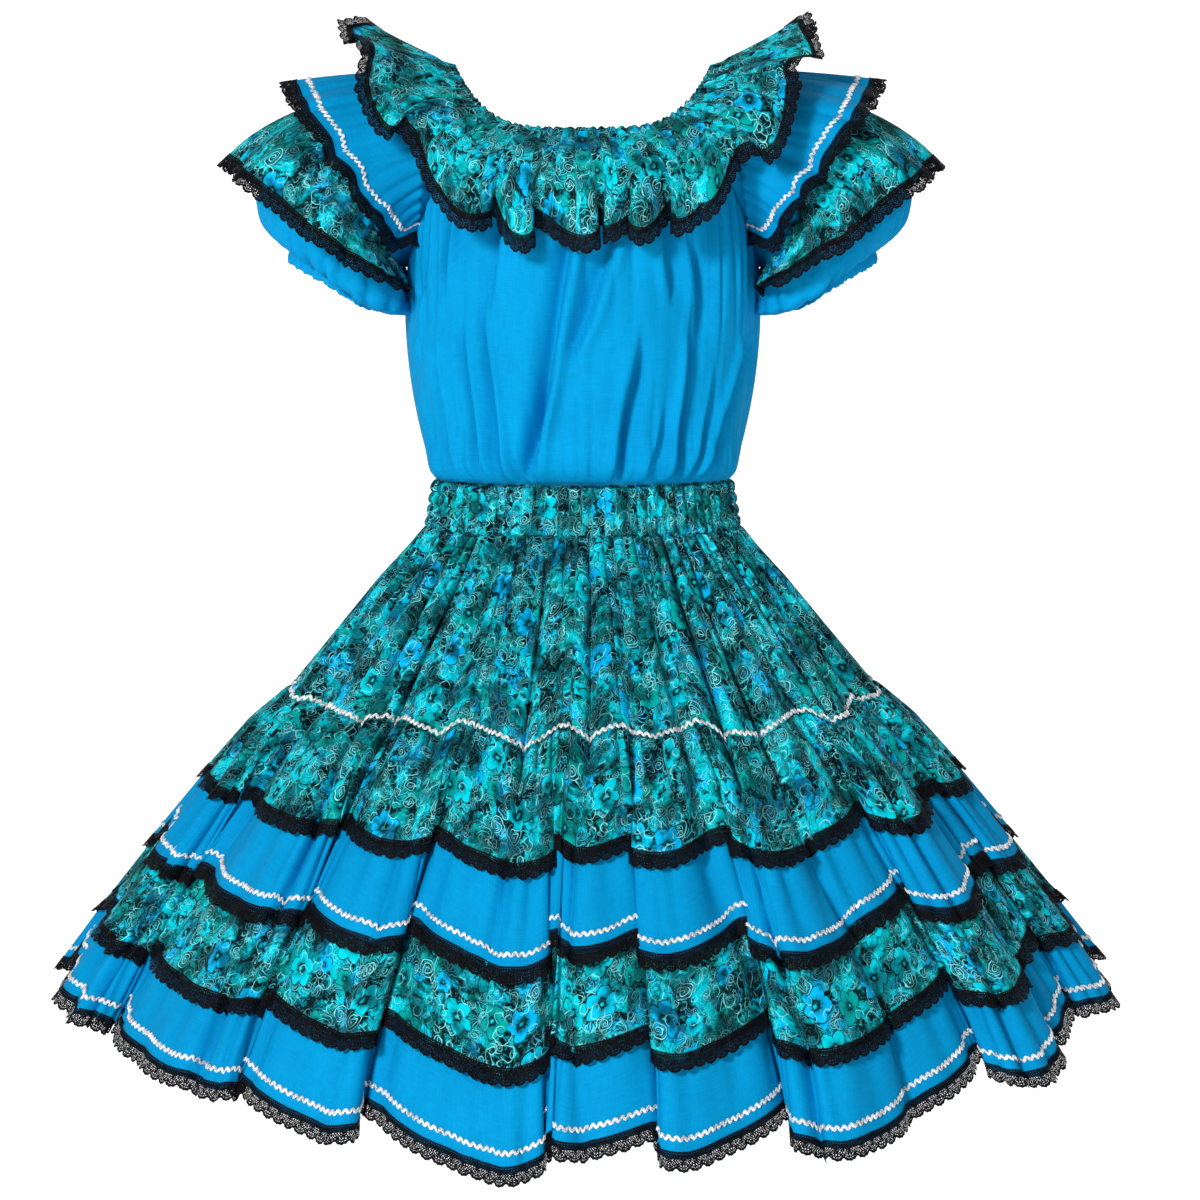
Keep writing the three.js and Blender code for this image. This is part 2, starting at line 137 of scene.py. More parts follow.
LAMPS = {  # name: place, width and height, watts
    "key": ((-1.4, -2.9, 1.15), (0.6, 0.6), 108),
    "fill": ((1.9, -2.7, 0.5), (1.0, 1.0), 18),
    "rim": ((0.8, 2.0, 2.6), (1.6, 1.6), 20),
}
for lamp_name, (place, size, watts) in LAMPS.items():
    lamp_data = bpy.data.lights.new(lamp_name, "AREA")
    lamp_data.shape = "RECTANGLE"
    lamp_data.size, lamp_data.size_y = size
    lamp_data.energy = watts
    lamp = bpy.data.objects.new(lamp_name, lamp_data)
    lamp.location = place
    aim = -np.array(place)
    tilt = math.acos(-aim[2] / np.linalg.norm(aim))
    lamp.rotation_euler = (tilt, 0, math.atan2(aim[1], aim[0]) - math.pi / 2)
    bpy.context.scene.collection.objects.link(lamp)

world = bpy.data.worlds.new("even_sky")
world.use_nodes = True
world.node_tree.nodes["Background"].inputs["Color"].default_value = (1, 1, 1, 1)
world.node_tree.nodes["Background"].inputs["Strength"].default_value = SKY_STRENGTH
bpy.context.scene.world = world
print("camera", tuple(round(x, 3) for x in camera.location), "lamps", len(LAMPS))

# %% [markdown]
# ## Writing shader sums as formulas
# A print or a weave is a formula over the cloth's own coordinates, so the shader nodes are written the way
# the formula reads. `Wire` wraps a socket: adding, multiplying or comparing two wires drops a Math node into
# the tree.


# %% Shader helper
FULL_TURN = 2 * math.pi


class Wire:
    """A shader value that makes Math nodes as it is used in sums."""

    def __init__(self, tree, socket):
        self.tree, self.socket = tree, socket

    def node(self, kind, **settings):
        made = self.tree.nodes.new(kind)
        for key, value in settings.items():
            setattr(made, key, value)
        return made

    def plug(self, value, socket):
        if isinstance(value, Wire):
            self.tree.links.new(value.socket, socket)
        else:
            socket.default_value = value

    def math(self, operation, *others):
        made = self.node("ShaderNodeMath", operation=operation)
        for value, socket in zip((self, *others), made.inputs):
            self.plug(value, socket)
        return Wire(self.tree, made.outputs[0])

    def __add__(self, other):
        return self.math("ADD", other)

    def __sub__(self, other):
        return self.math("SUBTRACT", other)

    def __mul__(self, other):
        return self.math("MULTIPLY", other)

    def __truediv__(self, other):
        return self.math("DIVIDE", other)

    def over(self, other):
        return self.math("GREATER_THAN", other)

    def step(self, low, high):
        """0 below low, 1 above high, and smooth between them; low may be the larger."""
        made = self.node("ShaderNodeMapRange", interpolation_type="SMOOTHSTEP")
        self.plug(self, made.inputs["Value"])
        self.plug(low, made.inputs["From Min"])
        self.plug(high, made.inputs["From Max"])
        return Wire(self.tree, made.outputs["Result"])

    def mix(self, low, high):
        """The colour low where this is 0, and high where it is 1."""
        made = self.node("ShaderNodeMix", data_type="RGBA", clamp_factor=True)
        self.plug(self, made.inputs["Factor"])
        colours = [s for s in made.inputs if s.type == "RGBA"]
        for value, socket in zip((low, high), colours):
            self.plug(value if isinstance(value, Wire) else (*value, 1), socket)
        return Wire(self.tree, [s for s in made.outputs if s.type == "RGBA"][0])


def vector_sum(wire, operation, other):
    """A Vector Math node over two vectors; other is a wire or three numbers."""
    made = wire.node("ShaderNodeVectorMath", operation=operation)
    wire.plug(wire, made.inputs[0])
    wire.plug(other, made.inputs[1])
    return Wire(wire.tree, made.outputs[0])


def parts_of(wire):
    """The x, y and z of a vector."""
    made = wire.node("ShaderNodeSeparateXYZ")
    wire.plug(wire, made.inputs[0])
    return [Wire(wire.tree, s) for s in made.outputs]


def stretched(wire, x, y):
    """A vector whose x and y are multiplied."""
    return vector_sum(wire, "MULTIPLY", (x, y, 1.0))


def noise(wire, scale, detail=2.0, rough=0.5, twist=0.0):
    """Noise from 0 to 1 over a vector."""
    made = wire.node("ShaderNodeTexNoise", noise_dimensions="2D")
    wire.plug(wire, made.inputs["Vector"])
    made.inputs["Scale"].default_value = scale
    made.inputs["Detail"].default_value = detail
    made.inputs["Roughness"].default_value = rough
    made.inputs["Distortion"].default_value = twist
    return Wire(wire.tree, made.outputs[0])


def cells(wire, scale, scatter=0.8):
    """Random cells over a vector: the way from each cell's middle in cell widths, and three random numbers."""
    grown = stretched(wire, scale, scale)
    made = wire.node("ShaderNodeTexVoronoi", voronoi_dimensions="2D", feature="F1")
    wire.plug(grown, made.inputs["Vector"])
    made.inputs["Scale"].default_value = 1.0
    made.inputs["Randomness"].default_value = scatter
    away = vector_sum(grown, "SUBTRACT", Wire(wire.tree, made.outputs["Position"]))
    split = wire.node("ShaderNodeSeparateColor")
    wire.tree.links.new(made.outputs["Color"], split.inputs[0])
    x, y, _ = parts_of(away)
    return x, y, [Wire(wire.tree, s) for s in split.outputs]


def polar(x, y):
    """Distance and angle of a point."""
    return (x * x + y * y).math("SQRT"), y.math("ARCTAN2", x)


def new_group(name, inputs, outputs):
    """A shader node group with named sockets: its tree, its input wires and its output node."""
    tree = bpy.data.node_groups.new(name, "ShaderNodeTree")
    for label, kind in inputs:
        tree.interface.new_socket(label, in_out="INPUT", socket_type=kind)
    for label, kind in outputs:
        tree.interface.new_socket(label, in_out="OUTPUT", socket_type=kind)
    start = tree.nodes.new("NodeGroupInput")
    end = tree.nodes.new("NodeGroupOutput")
    return tree, [Wire(tree, s) for s in start.outputs if s.name], end


print("shader helper ready")

# %% [markdown]
# ## Weave, used by both cottons
# Plain cotton shows as uneven threads: long thin streaks along both directions of the cloth, lighter where a
# thick thread comes up. Two stretched noises make them, and a fine grid of threads stands on top as height.


# %% Weave group
THREADS_PER_M = 2600
STREAK_FINE, STREAK_LONG = 1500, 60  # noise cells to the metre, across and along a thread


def weave_group():
    """Streaks along and across the cloth (0 to 1), and the height of its threads."""
    tree, (place,), end = new_group(
        "cotton_weave",
        [("Cloth", "NodeSocketVector")],
        [("Streaks", "NodeSocketFloat"), ("Height", "NodeSocketFloat")],
    )
    along = noise(stretched(place, STREAK_LONG, STREAK_FINE), 1.0, rough=0.6)
    across = noise(stretched(place, STREAK_FINE, STREAK_LONG), 1.0, rough=0.6)
    u, v, _ = parts_of(place)
    pitch = THREADS_PER_M * math.pi
    threads = (u * pitch).math("SINE") * (v * pitch).math("SINE")
    tree.links.new(((along + across) * 0.5).socket, end.inputs["Streaks"])
    tree.links.new((threads * 0.5 + along + across).socket, end.inputs["Height"])
    return tree


WEAVE = weave_group()
print("weave:", THREADS_PER_M, "threads to the metre")


# %% Materials from groups
def use_group(material, tree, **inputs):
    """Places a group in a material; inputs are wires or values by the socket's name."""
    made = material.node_tree.nodes.new("ShaderNodeGroup")
    made.node_tree = tree
    for label, value in inputs.items():
        if isinstance(value, Wire):
            material.node_tree.links.new(value.socket, made.inputs[label])
        else:
            made.inputs[label].default_value = value
    return {s.name: Wire(material.node_tree, s) for s in made.outputs}


def new_material(name, rough, metallic=0.0):
    """A Principled material, its shader, and its piece's own UV map as a wire."""
    material = bpy.data.materials.new(name)
    material.use_nodes = True
    shader = material.node_tree.nodes["Principled BSDF"]
    shader.inputs["Roughness"].default_value = rough
    shader.inputs["Specular IOR Level"].default_value = 0.5 if metallic else 0.05
    shader.inputs["Metallic"].default_value = metallic
    uv = material.node_tree.nodes.new("ShaderNodeUVMap")
    uv.uv_map = "cloth"
    return material, shader, Wire(material.node_tree, uv.outputs[0])


def feed(shader, socket, wire):
    """Plugs a wire into one of the shader's sockets."""
    wire.tree.links.new(wire.socket, shader.inputs[socket])


def bump(shader, height, strength, distance):
    """Height into the shader's Normal through a Bump node; the distance is in metres."""
    made = height.node("ShaderNodeBump")
    made.inputs["Strength"].default_value = strength
    made.inputs["Distance"].default_value = distance
    height.plug(height, made.inputs["Height"])
    feed(shader, "Normal", Wire(height.tree, made.outputs[0]))


# %% [markdown]
# ## Blue cotton
# A clear turquoise blue. The streaks of the weave move its lightness a little, and a slow noise keeps large
# areas from looking flat.

# %% Blue cotton
COTTON_ROUGH = 0.8
THREAD_HEIGHT = 0.0003
BLUE_DEEP = (0.0, 0.175, 0.39)
BLUE_LIGHT = (0.0, 0.305, 0.62)


def blue_cotton():
    """Blue whose lightness follows the threads' streaks and a slow noise."""
    material, shader, uv = new_material("blue_cotton", COTTON_ROUGH)
    weave = use_group(material, WEAVE, Cloth=uv)
    tone = (weave["Streaks"] - 0.5) * 1.6 + (noise(uv, 14.0) - 0.5) * 0.5 + 0.55
    feed(shader, "Base Color", tone.mix(BLUE_DEEP, BLUE_LIGHT))
    bump(shader, weave["Height"], 0.25, THREAD_HEIGHT)
    return material


BLUE = blue_cotton()
print("blue from", BLUE_DEEP, "to", BLUE_LIGHT)

# %% [markdown]
# ## Printed cotton
# The print is a garden of loose blossoms, leaves and curls over a mottled ground that sinks from emerald,
# turquoise and blue into ink. Each motif lives in a random cell: a blossom is a circle repeated round its
# heart, a feather is a spray of bent lenses, and spirals and hooks are thin pale lines. They are laid from
# the ground up.

# %% Print colours
INK = (0.0005, 0.003, 0.005)
DEEP_TEAL = (0.0, 0.045, 0.06)
EMERALD = (0.0, 0.33, 0.31)
TURQUOISE = (0.0, 0.56, 0.67)
SKY = (0.0, 0.42, 0.78)
PALE = (0.22, 0.80, 0.84)
WORN_TEAL = (0.02, 0.22, 0.24)
WASHED_OUT = (0.16, 0.36, 0.44)
print("print inks: ink, deep teal, emerald, turquoise, sky and pale")


# %% Painting helpers
def tinted(pick):
    """Emerald, turquoise or blue, by a number from 0 to 1."""
    return pick.step(0.66, 0.86).mix(pick.step(0.15, 0.4).mix(EMERALD, TURQUOISE), SKY)


def shifted(place, x, y):
    """The cloth's coordinates moved, so that two patterns don't start at one point."""
    return vector_sum(place, "ADD", (x, y, 0))


def painted(base, mask, colour, outline=None):
    """A shape laid over a base colour; outline is the mask of a slightly larger shape, in ink."""
    if outline is not None:
        base = (outline * 0.9).mix(base, INK)
    return mask.mix(base, colour)


def contours(field, lines, low, high):
    """Thin lines where a field passes half steps: |fract(field * lines) - 1/2| below high."""
    return ((field * lines).math("FRACT") - 0.5).math("ABSOLUTE").step(low, high)


def spread(x, y, spin, parts, twist=0.0):
    """Splits the round into equal slices: distance, and the point's place along and across its slice."""
    far, turn = polar(x, y)
    part = FULL_TURN / parts
    slice_turn = ((turn + spin * FULL_TURN + far * twist) / part).math("FRACT") * part - part / 2
    return far, far * slice_turn.math("COSINE"), far * slice_turn.math("SINE")


# %% Blossoms and sprays
def blossoms(base, place, scale, petals, size, share):
    """Blossoms: a round petal repeated round the heart, darker at its root, with an ink outline."""
    x, y, (a, b, c) = cells(place, scale, 0.7)
    far, along, across = spread(x, y, a, petals)
    edge, _ = polar(along - size * 0.62, across)
    petal_radius = size * 0.38
    petal = (far.step(size * 0.1, size * 0.75) * 0.75 + 0.25).mix(DEEP_TEAL, tinted(c))
    vein = across.math("ABSOLUTE").step(size * 0.03, 0.0) * far.step(size * 0.7, size * 0.4)
    petal = (vein * 0.7).mix(petal, INK)
    shown = b.over(share)
    inside = edge.step(petal_radius, petal_radius * 0.95) * shown
    outline = edge.step(petal_radius * 1.2, petal_radius * 1.08) * shown
    base = painted(base, inside, petal, outline)
    heart = far.step(size * 0.04, size * 0.15).mix(TURQUOISE, DEEP_TEAL)
    inside = far.step(size * 0.2, size * 0.16) * shown
    outline = far.step(size * 0.28, size * 0.22) * shown
    return painted(base, inside, heart, outline)


def feathers(base, place, scale, size, parts, twist, share):
    """Sprays of narrow leaves that swirl out of a stem: slices bent by the distance, on part of the round."""
    x, y, (a, b, c) = cells(place, scale, 0.85)
    far, _, across = spread(x, y, a, parts, twist)
    _, turn = polar(x, y)
    reach = far / size
    half = reach * (reach * -1.0 + 1.0) * (size * 1.5 / parts * 1.6)
    gap = across.math("ABSOLUTE") - half
    shown = b.over(share) * (turn * (1 / FULL_TURN) + c).math("FRACT").over(0.4)
    leaf = reach.step(0.1, 0.9).mix(DEEP_TEAL, tinted(c))
    base = painted(base, gap.step(0.004, -0.008) * shown, leaf, gap.step(0.03, 0.012) * shown)
    rib = across.math("ABSOLUTE").step(0.012, 0.003) * reach.step(0.9, 0.7)
    return (rib * shown * 0.5).mix(base, PALE)


# %% Spirals and hooks
def spirals(base, place, scale, size, coil, share, strength):
    """Pale spiral lines, far = coil * turns, on a dark shadow line that runs beside them."""
    x, y, (a, b, c) = cells(place, scale, 0.85)
    far, turn = polar(x, y)
    hand = c.over(0.5) * 2.0 - 1.0
    wound = ((far / coil - turn * hand * (1 / FULL_TURN) + a).math("FRACT") - 0.5).math("ABSOLUTE")
    shown = far.step(size, size * 0.92) * b.over(share)
    base = (wound.step(0.46, 0.3) * shown * 0.75).mix(base, INK)
    return (wound.step(0.15, 0.06) * shown * strength).mix(base, PALE)


def hooks(base, place, scale, radius, thin, share, strength):
    """Hooked lines: an open arc whose radius shrinks to under half as it goes round."""
    x, y, (a, b, c) = cells(place, scale, 0.95)
    far, turn = polar(x, y)
    hand = c.over(0.5) * 2.0 - 1.0
    round_way = ((turn * hand + a * FULL_TURN) * (1 / FULL_TURN)).math("FRACT")
    away = (far - (round_way * -0.6 + 1.0) * radius).math("ABSOLUTE")
    line = away.step(thin, thin * 0.4) * round_way.step(0.06, 0.2) * round_way.step(0.92, 0.72)
    return (line * b.over(share) * strength).mix(base, PALE)


# %% Ground and layers
def ground(place):
    """Clouds of emerald, turquoise and blue that sink into ink, flecked, and veined with fine contour lines."""
    tint = tinted((noise(place, 22.0, detail=3.0) - 0.5) * 2.6 + 0.5)
    depth = noise(shifted(place, 3, 1), 40.0, detail=5.0, rough=0.66, twist=0.8)
    base = depth.step(0.44, 0.54).mix(INK, tint)
    fleck = noise(shifted(place, 8, 4), 260.0, rough=0.6, twist=0.8)
    base = (fleck.step(0.52, 0.6) * depth.step(0.62, 0.5) * 0.8).mix(base, INK)
    base = (fleck.step(0.42, 0.34) * 0.5).mix(base, TURQUOISE)
    vein = contours(noise(shifted(place, 7, 5), 80.0, detail=1.0, twist=2.4), 5.0, 0.09, 0.02)
    base = (vein * 0.8).mix(base, INK)
    thread = contours(noise(shifted(place, 1, 9), 60.0, detail=1.0, twist=2.6), 4.0, 0.05, 0.012)
    return (thread * noise(shifted(place, 4, 4), 45.0).step(0.5, 0.62) * 0.6).mix(base, PALE)


PRINT_LAYERS = [  # motif, shift of its cells (m), scale in cells to the metre, and sizes in cell widths
    (feathers, (0.37, 0.2), dict(scale=46.0, size=0.46, parts=10, twist=5.0, share=0.3)),
    (hooks, (0.71, 0.4), dict(scale=110.0, radius=0.38, thin=0.05, share=0.5, strength=0.55)),
    (blossoms, (0.53, 0.1), dict(scale=44.0, petals=6, size=0.36, share=0.62)),
    (feathers, (0.11, 0.9), dict(scale=34.0, size=0.46, parts=9, twist=-4.0, share=0.4)),
    (spirals, (0.83, 0.6), dict(scale=50.0, size=0.28, coil=0.125, share=0.55, strength=0.8)),
    (blossoms, (0, 0), dict(scale=27.0, petals=5, size=0.40, share=0.55)),
    (spirals, (0.41, 0.8), dict(scale=27.0, size=0.24, coil=0.085, share=0.62, strength=0.95)),
    (hooks, (0.29, 0.5), dict(scale=74.0, radius=0.42, thin=0.034, share=0.45, strength=0.75)),
    (hooks, (0.91, 0.3), dict(scale=44.0, radius=0.42, thin=0.022, share=0.5, strength=0.85)),
]  # share is the share of cells that stay empty
WARP = 0.005  # how far the motifs are pushed about, so that none is regular (m)


def print_group():
    """The whole print over the cloth's coordinates in metres, laid from the ground up."""
    tree, (place,), end = new_group(
        "garden_print", [("Cloth", "NodeSocketVector")], [("Color", "NodeSocketColor")]
    )
    push = noise(place, 110.0, detail=1.0).mix((0, 0, 0), (WARP, WARP, 0))
    warped = vector_sum(place, "ADD", push)
    base = ground(place)
    for motif, shift, sizes in PRINT_LAYERS:
        base = motif(base, shifted(warped, *shift), **sizes)
    shade = noise(shifted(place, 2, 8), 26.0, detail=4.0, rough=0.62).step(0.53, 0.4) * 0.72
    tree.links.new(shade.mix(base, INK).socket, end.inputs["Color"])
    return tree


PRINT_GROUP = print_group()
print("print layers:", len(PRINT_LAYERS))


# %% Printed cotton
def printed_cotton():
    """The print, dulled a little where a thick thread comes up."""
    material, shader, uv = new_material("printed_cotton", COTTON_ROUGH)
    weave = use_group(material, WEAVE, Cloth=uv)
    ink = use_group(material, PRINT_GROUP, Cloth=uv)["Color"]
    feed(shader, "Base Color", ((weave["Streaks"] - 0.4) * 0.25).mix(ink, WORN_TEAL))
    bump(shader, weave["Height"], 0.25, THREAD_HEIGHT)
    return material


PRINTED = printed_cotton()
print("made", PRINTED.name)

# %% [markdown]
# ## The wrong side of the print
# A print shows pale and washed out on the back of the cloth. Only the neck ruffle stands up so far that its
# back can be seen. Its inner face gets this second material, through the Solidify modifier's material offset.


# %% Wrong side
def wrong_side():
    """The same print, mixed with a pale grey blue."""
    material, shader, uv = new_material("print_wrong_side", COTTON_ROUGH)
    weave = use_group(material, WEAVE, Cloth=uv)
    ink = use_group(material, PRINT_GROUP, Cloth=uv)["Color"]
    feed(shader, "Base Color", (weave["Streaks"] * 0.4 + 0.35).mix(ink, WASHED_OUT))
    bump(shader, weave["Height"], 0.2, THREAD_HEIGHT)
    return material


PRINT_BACK = wrong_side()
print("made", PRINT_BACK.name)

# %% [markdown]
# ## Lace and braid finishes
# The lace has two parts: threads, which are real geometry in matt black, and the fine net between them, which
# is a thin strip whose alpha opens in tiny holes. The braid is silver: metal, crinkled by a fine noise, with
# painted glints and painted shade in its colour so that it sparkles.


# %% Lace materials
THREAD_BLACKS = (0.001, 0.001, 0.0015), (0.008, 0.008, 0.011)
NET_BLACKS = (0.001, 0.001, 0.002), (0.005, 0.005, 0.008)
NET_CELL = 0.0021
HOLE_ALPHA = 0.12


def black_thread():
    """Matt black with the fuzz of a twisted thread."""
    material, shader, uv = new_material("black_thread", 0.7)
    fuzz = noise(uv, 900.0)
    feed(shader, "Base Color", fuzz.mix(*THREAD_BLACKS))
    bump(shader, fuzz, 0.4, 0.0004)
    return material


def black_net():
    """Black whose alpha falls in the middle of small slanting squares: |sin| of u + v times |sin| of u - v."""
    material, shader, uv = new_material("black_net", 0.8)
    u, v, _ = parts_of(uv)
    wave_a = ((u + v) * (math.pi / NET_CELL)).math("SINE").math("ABSOLUTE")
    wave_b = ((u - v) * (math.pi / NET_CELL)).math("SINE").math("ABSOLUTE")
    holes = (wave_a * wave_b).step(0.42, 0.62)
    cover = holes * (HOLE_ALPHA - 1) + 1.0
    feed(shader, "Alpha", cover)
    feed(shader, "Base Color", noise(uv, 500.0).mix(*NET_BLACKS))
    return material


THREAD = black_thread()
NET = black_net()
print("lace:", THREAD.name, NET.name)

# %% Braid material
# grey for painted shade, white for painted glints
SILVER_SHADE_TO_GLINT = (0.30, 0.35, 0.36), (1.0, 1.0, 1.0)


def silver_foil():
    """Crinkled silver thread: a fine and a coarse noise move its roughness and its height, and paint its colour
    from grey to white: painted glints, and painted shade on segments that turn from the light.
    """
    material, shader, uv = new_material("silver_foil", 0.3, metallic=0.3)
    glint = noise(uv, 1400.0, detail=1.0)
    coarse = noise(uv, 60.0).step(0.35, 0.6)
    # painted glints where the fine noise is high, and painted shade on darker segments where the coarse noise
    # is low
    painted_glint_and_shade = glint.step(0.35, 0.6) * 0.55 + coarse * 0.5
    feed(shader, "Base Color", painted_glint_and_shade.mix(*SILVER_SHADE_TO_GLINT))
    feed(shader, "Roughness", glint.step(0.2, 0.9).math("MULTIPLY_ADD", 0.35, 0.18))
    bump(shader, glint + coarse, 0.8, 0.0008)
    return material


SILVER = silver_foil()
print("materials:", [m.name for m in bpy.data.materials])

# %% [markdown]
# ## Cloth from a grid
# Every panel is a grid of points: rows run down the cloth, columns run round it. `cloth_piece` turns a grid
# into a mesh with its flat coordinates as a UV map, thickens it inwards, and hides the frame's solid that it
# stands in for.

# %% Grids into cloth
CLOTH_THICK = 0.7 * MM
CLOTHS = {  # the faces' looks, and the frame's material slot
    "print": ([PRINTED], "printed_cotton"),
    "two-faced print": ([PRINTED, PRINT_BACK], "printed_cotton"),
    "blue": ([BLUE], "blue_cotton"),
}


def grid_faces(rows, columns, ring):
    """Four-cornered faces of a grid; a ring joins its last column to its first."""
    r, c = np.meshgrid(np.arange(rows - 1), np.arange(columns if ring else columns - 1), indexing="ij")
    after = (c + 1) % columns
    above, below = r * columns, (r + 1) * columns
    return np.stack([above + c, below + c, below + after, above + after], -1)


def write_uv(piece, corner_u, corner_v):
    """A UV map named cloth, from one value of each kind a face corner."""
    layer = piece.data.uv_layers.new(name="cloth")
    layer.data.foreach_set("uv", np.stack([corner_u, corner_v], 1).astype(np.float32).reshape(-1))


def give_uv(piece, faces, u, v, ring_width=None):
    """Flat coordinates at each corner; on a ring the last column's far corners go on to the full width."""
    columns = u.shape[1]
    flat = faces.reshape(-1)
    corner_u = u.reshape(-1)[flat]
    corner_v = v.reshape(-1)[flat]
    if ring_width is not None:
        face_column = np.repeat(faces.reshape(-1, 4)[:, 0] % columns, 4)
        corner_column = flat % columns
        wraps = (face_column == columns - 1) & (corner_column == 0)
        corner_u = np.where(wraps, corner_u + ring_width, corner_u)
    write_uv(piece, corner_u, corner_v)


def lengths(points, axis):
    """Distances between neighbours along an axis."""
    return np.linalg.norm(np.diff(points, axis=axis), axis=-1)


# %% Cloth pieces
def cloth_piece(node, points, ring, cloth, u=None, ring_width=None):
    """A cloth panel from a (rows, columns, 3) grid, in place of one solid. Its flat coordinates are v, the
    length down the cloth, and u, the length round its widest row unless it is given."""
    rows, columns, _ = points.shape
    closed = np.concatenate([points, points[:, :1]], 1) if ring else points
    around = lengths(closed, 1)
    widest = around[around.sum(1).argmax()]
    if u is None:
        u = np.broadcast_to(np.concatenate([[0], np.cumsum(widest)])[:columns], (rows, columns))
    down = np.concatenate([[0], np.cumsum(lengths(points, 0).mean(1))])
    v = np.broadcast_to(-down[:, None], (rows, columns))
    faces = grid_faces(rows, columns, ring)
    piece = put_mesh(node + "_cloth", points.reshape(-1, 3), faces.reshape(-1, 4))
    give_uv(piece, faces, u, v, (ring_width or widest.sum()) if ring else None)
    looks, slot = CLOTHS[cloth]
    for look in looks:
        piece.data.materials.append(look)
    shell = piece.modifiers.new("thickness", "SOLIDIFY")
    shell.thickness = CLOTH_THICK
    shell.offset = -1
    shell.use_even_offset = False
    if len(looks) > 1:
        shell.material_offset = 1
        shell.material_offset_rim = 0
    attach(piece, "root")
    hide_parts(node)
    return piece


# %% Directions on a grid
def unit(vectors):
    """Vectors of length 1."""
    return vectors / np.linalg.norm(vectors, axis=-1, keepdims=True)


def normals_of(points, ring):
    """Outward unit normals of a grid: the way round crossed with the way up."""
    if ring:
        round_way = np.roll(points, -1, 1) - np.roll(points, 1, 1)
    else:
        round_way = np.gradient(points, axis=1)
    out = np.cross(round_way, -np.gradient(points, axis=0))
    return out / np.maximum(np.linalg.norm(out, axis=-1, keepdims=True), 1e-12)


def smooth_step(x, low, high):
    """0 below low, 1 above high, 3t^2 - 2t^3 between."""
    t = np.clip((x - low) / (high - low), 0, 1)
    return t * t * (3 - 2 * t)


def bell(x, middle, wide):
    """1 at the middle, falling off to both sides as exp(-((x - middle) / wide)^2)."""
    return np.exp(-(((x - middle) / wide) ** 2))


def oval(side, front, degrees, out, z):
    """Points on an oval ring, moved out square to it."""
    s, c = np.sin(np.radians(degrees)), np.cos(np.radians(degrees))
    square = unit(np.stack([s / side, -c / front], -1))
    out = np.asarray(out)[..., None]
    flat = np.stack([side * s, -front * c], -1) + square * out
    return np.concatenate([flat, np.broadcast_to(np.asarray(z, float), flat.shape[:-1])[..., None]], -1)


print("cloth is", CLOTH_THICK / MM, "mm thick")

# %% [markdown]
# ## Gathers
# Cloth that is drawn up on a thread stands in uneven ridges. A wave with a fixed length looks like a machine
# made it, so slow sines push its turns about, and another pair of sines makes some ridges taller. The print
# runs over each ridge at its true scale, and skips the cloth that lies hidden in the valley.


# %% Gathers
def gather_turn(u, count, seed, uneven=0.35):
    """How far round its waves a gathered edge has come (radians), with a few slow sines to make them uneven."""
    rng = np.random.default_rng(seed)
    phase = sum(uneven * np.sin(2 * np.pi * (k * u + rng.random())) for k in (3, 5, 8, 13))
    return 2 * np.pi * count * u + 2.0 * phase + 6 * rng.random()


def ripple(u, count, seed, uneven=0.35, sharp=0.8):
    """Uneven gathers round a ring, u from 0 to 1. Gathered cloth has round ridges and narrow valleys, so a wave
    is 2 |sin(turn / 2)|^sharp - 1.2, and its height wanders."""
    rng = np.random.default_rng(seed + 1000)
    height = 0.7 + 0.3 * np.sin(2 * np.pi * (7 * u + rng.random())) * np.sin(2 * np.pi * (4 * u + rng.random()))
    return height * (2 * np.abs(np.sin(gather_turn(u, count, seed, uneven) / 2)) ** sharp - 1.2)


def gathered_u(points, turn, fullness=1.0):
    """Flat way round of a gathered ring. Each gather shows its cloth at true scale, and the cloth that lies
    hidden between two gathers is skipped: u = widest at the gather's middle + way from that middle."""
    closed = np.concatenate([points, points[:, :1]], 1)
    around = np.concatenate([np.zeros((len(points), 1)), np.cumsum(lengths(closed, 1), 1)], 1)
    widest = around[around[:, -1].argmax()] * fullness
    which = np.floor(turn / (2 * np.pi)).astype(int)
    _, group = np.unique(which, return_inverse=True)
    columns = np.arange(points.shape[1])
    middle = np.round(np.bincount(group, columns) / np.bincount(group)).astype(int)[group]
    return widest[middle] + around[:, columns] - around[:, middle], float(widest[-1])


print("gathers are worked out by their count and a seed")

# %% [markdown]
# ## Rolled folds
# A full skirt falls in folds that roll over to one side, towards the middle of the front. One fold swells as
# (1 - cos) while the cloth sways sideways as a sine, so that one flank is long and the other steep. Both ends
# of a fold lie in its valleys, so that folds of any width join smoothly round the ring.

# %% Folds
SKIRT_FOLDS = np.array([  # start (degrees), roll, depth share, hang share; the last row closes the round
    (-92, 1, 0.45, 0.35), (-62, 1, 0.55, 0.45), (-37, 1, 0.75, 0.7), (-23, 1, 1.1, 1.2), (-3, -1, 0.5, 0.5),
    (7, -1, 0.8, 0.8), (21, -1, 1.1, 1.2), (47, -1, 1.0, 1.0), (68, -1, 0.6, 0.5), (93, -1, 0.8, 0.7),
    (117, -1, 0.8, 0.7), (136, -1, 1.1, 1.1), (161, -1, 0.7, 0.6), (178, 1, 0.9, 0.9), (200, 1, 1.1, 1.1),
    (226, 1, 0.8, 0.7), (244, 1, 1.0, 1.0), (268, 1, 0, 0),
])
FOLD_LEAD = 281  # degrees into a fold at which its cloth turns back most
FACING_CALM = 0.78  # how much of its sway a fold keeps beside one that leans towards it
STEPS_PER_DEGREE = 2.5


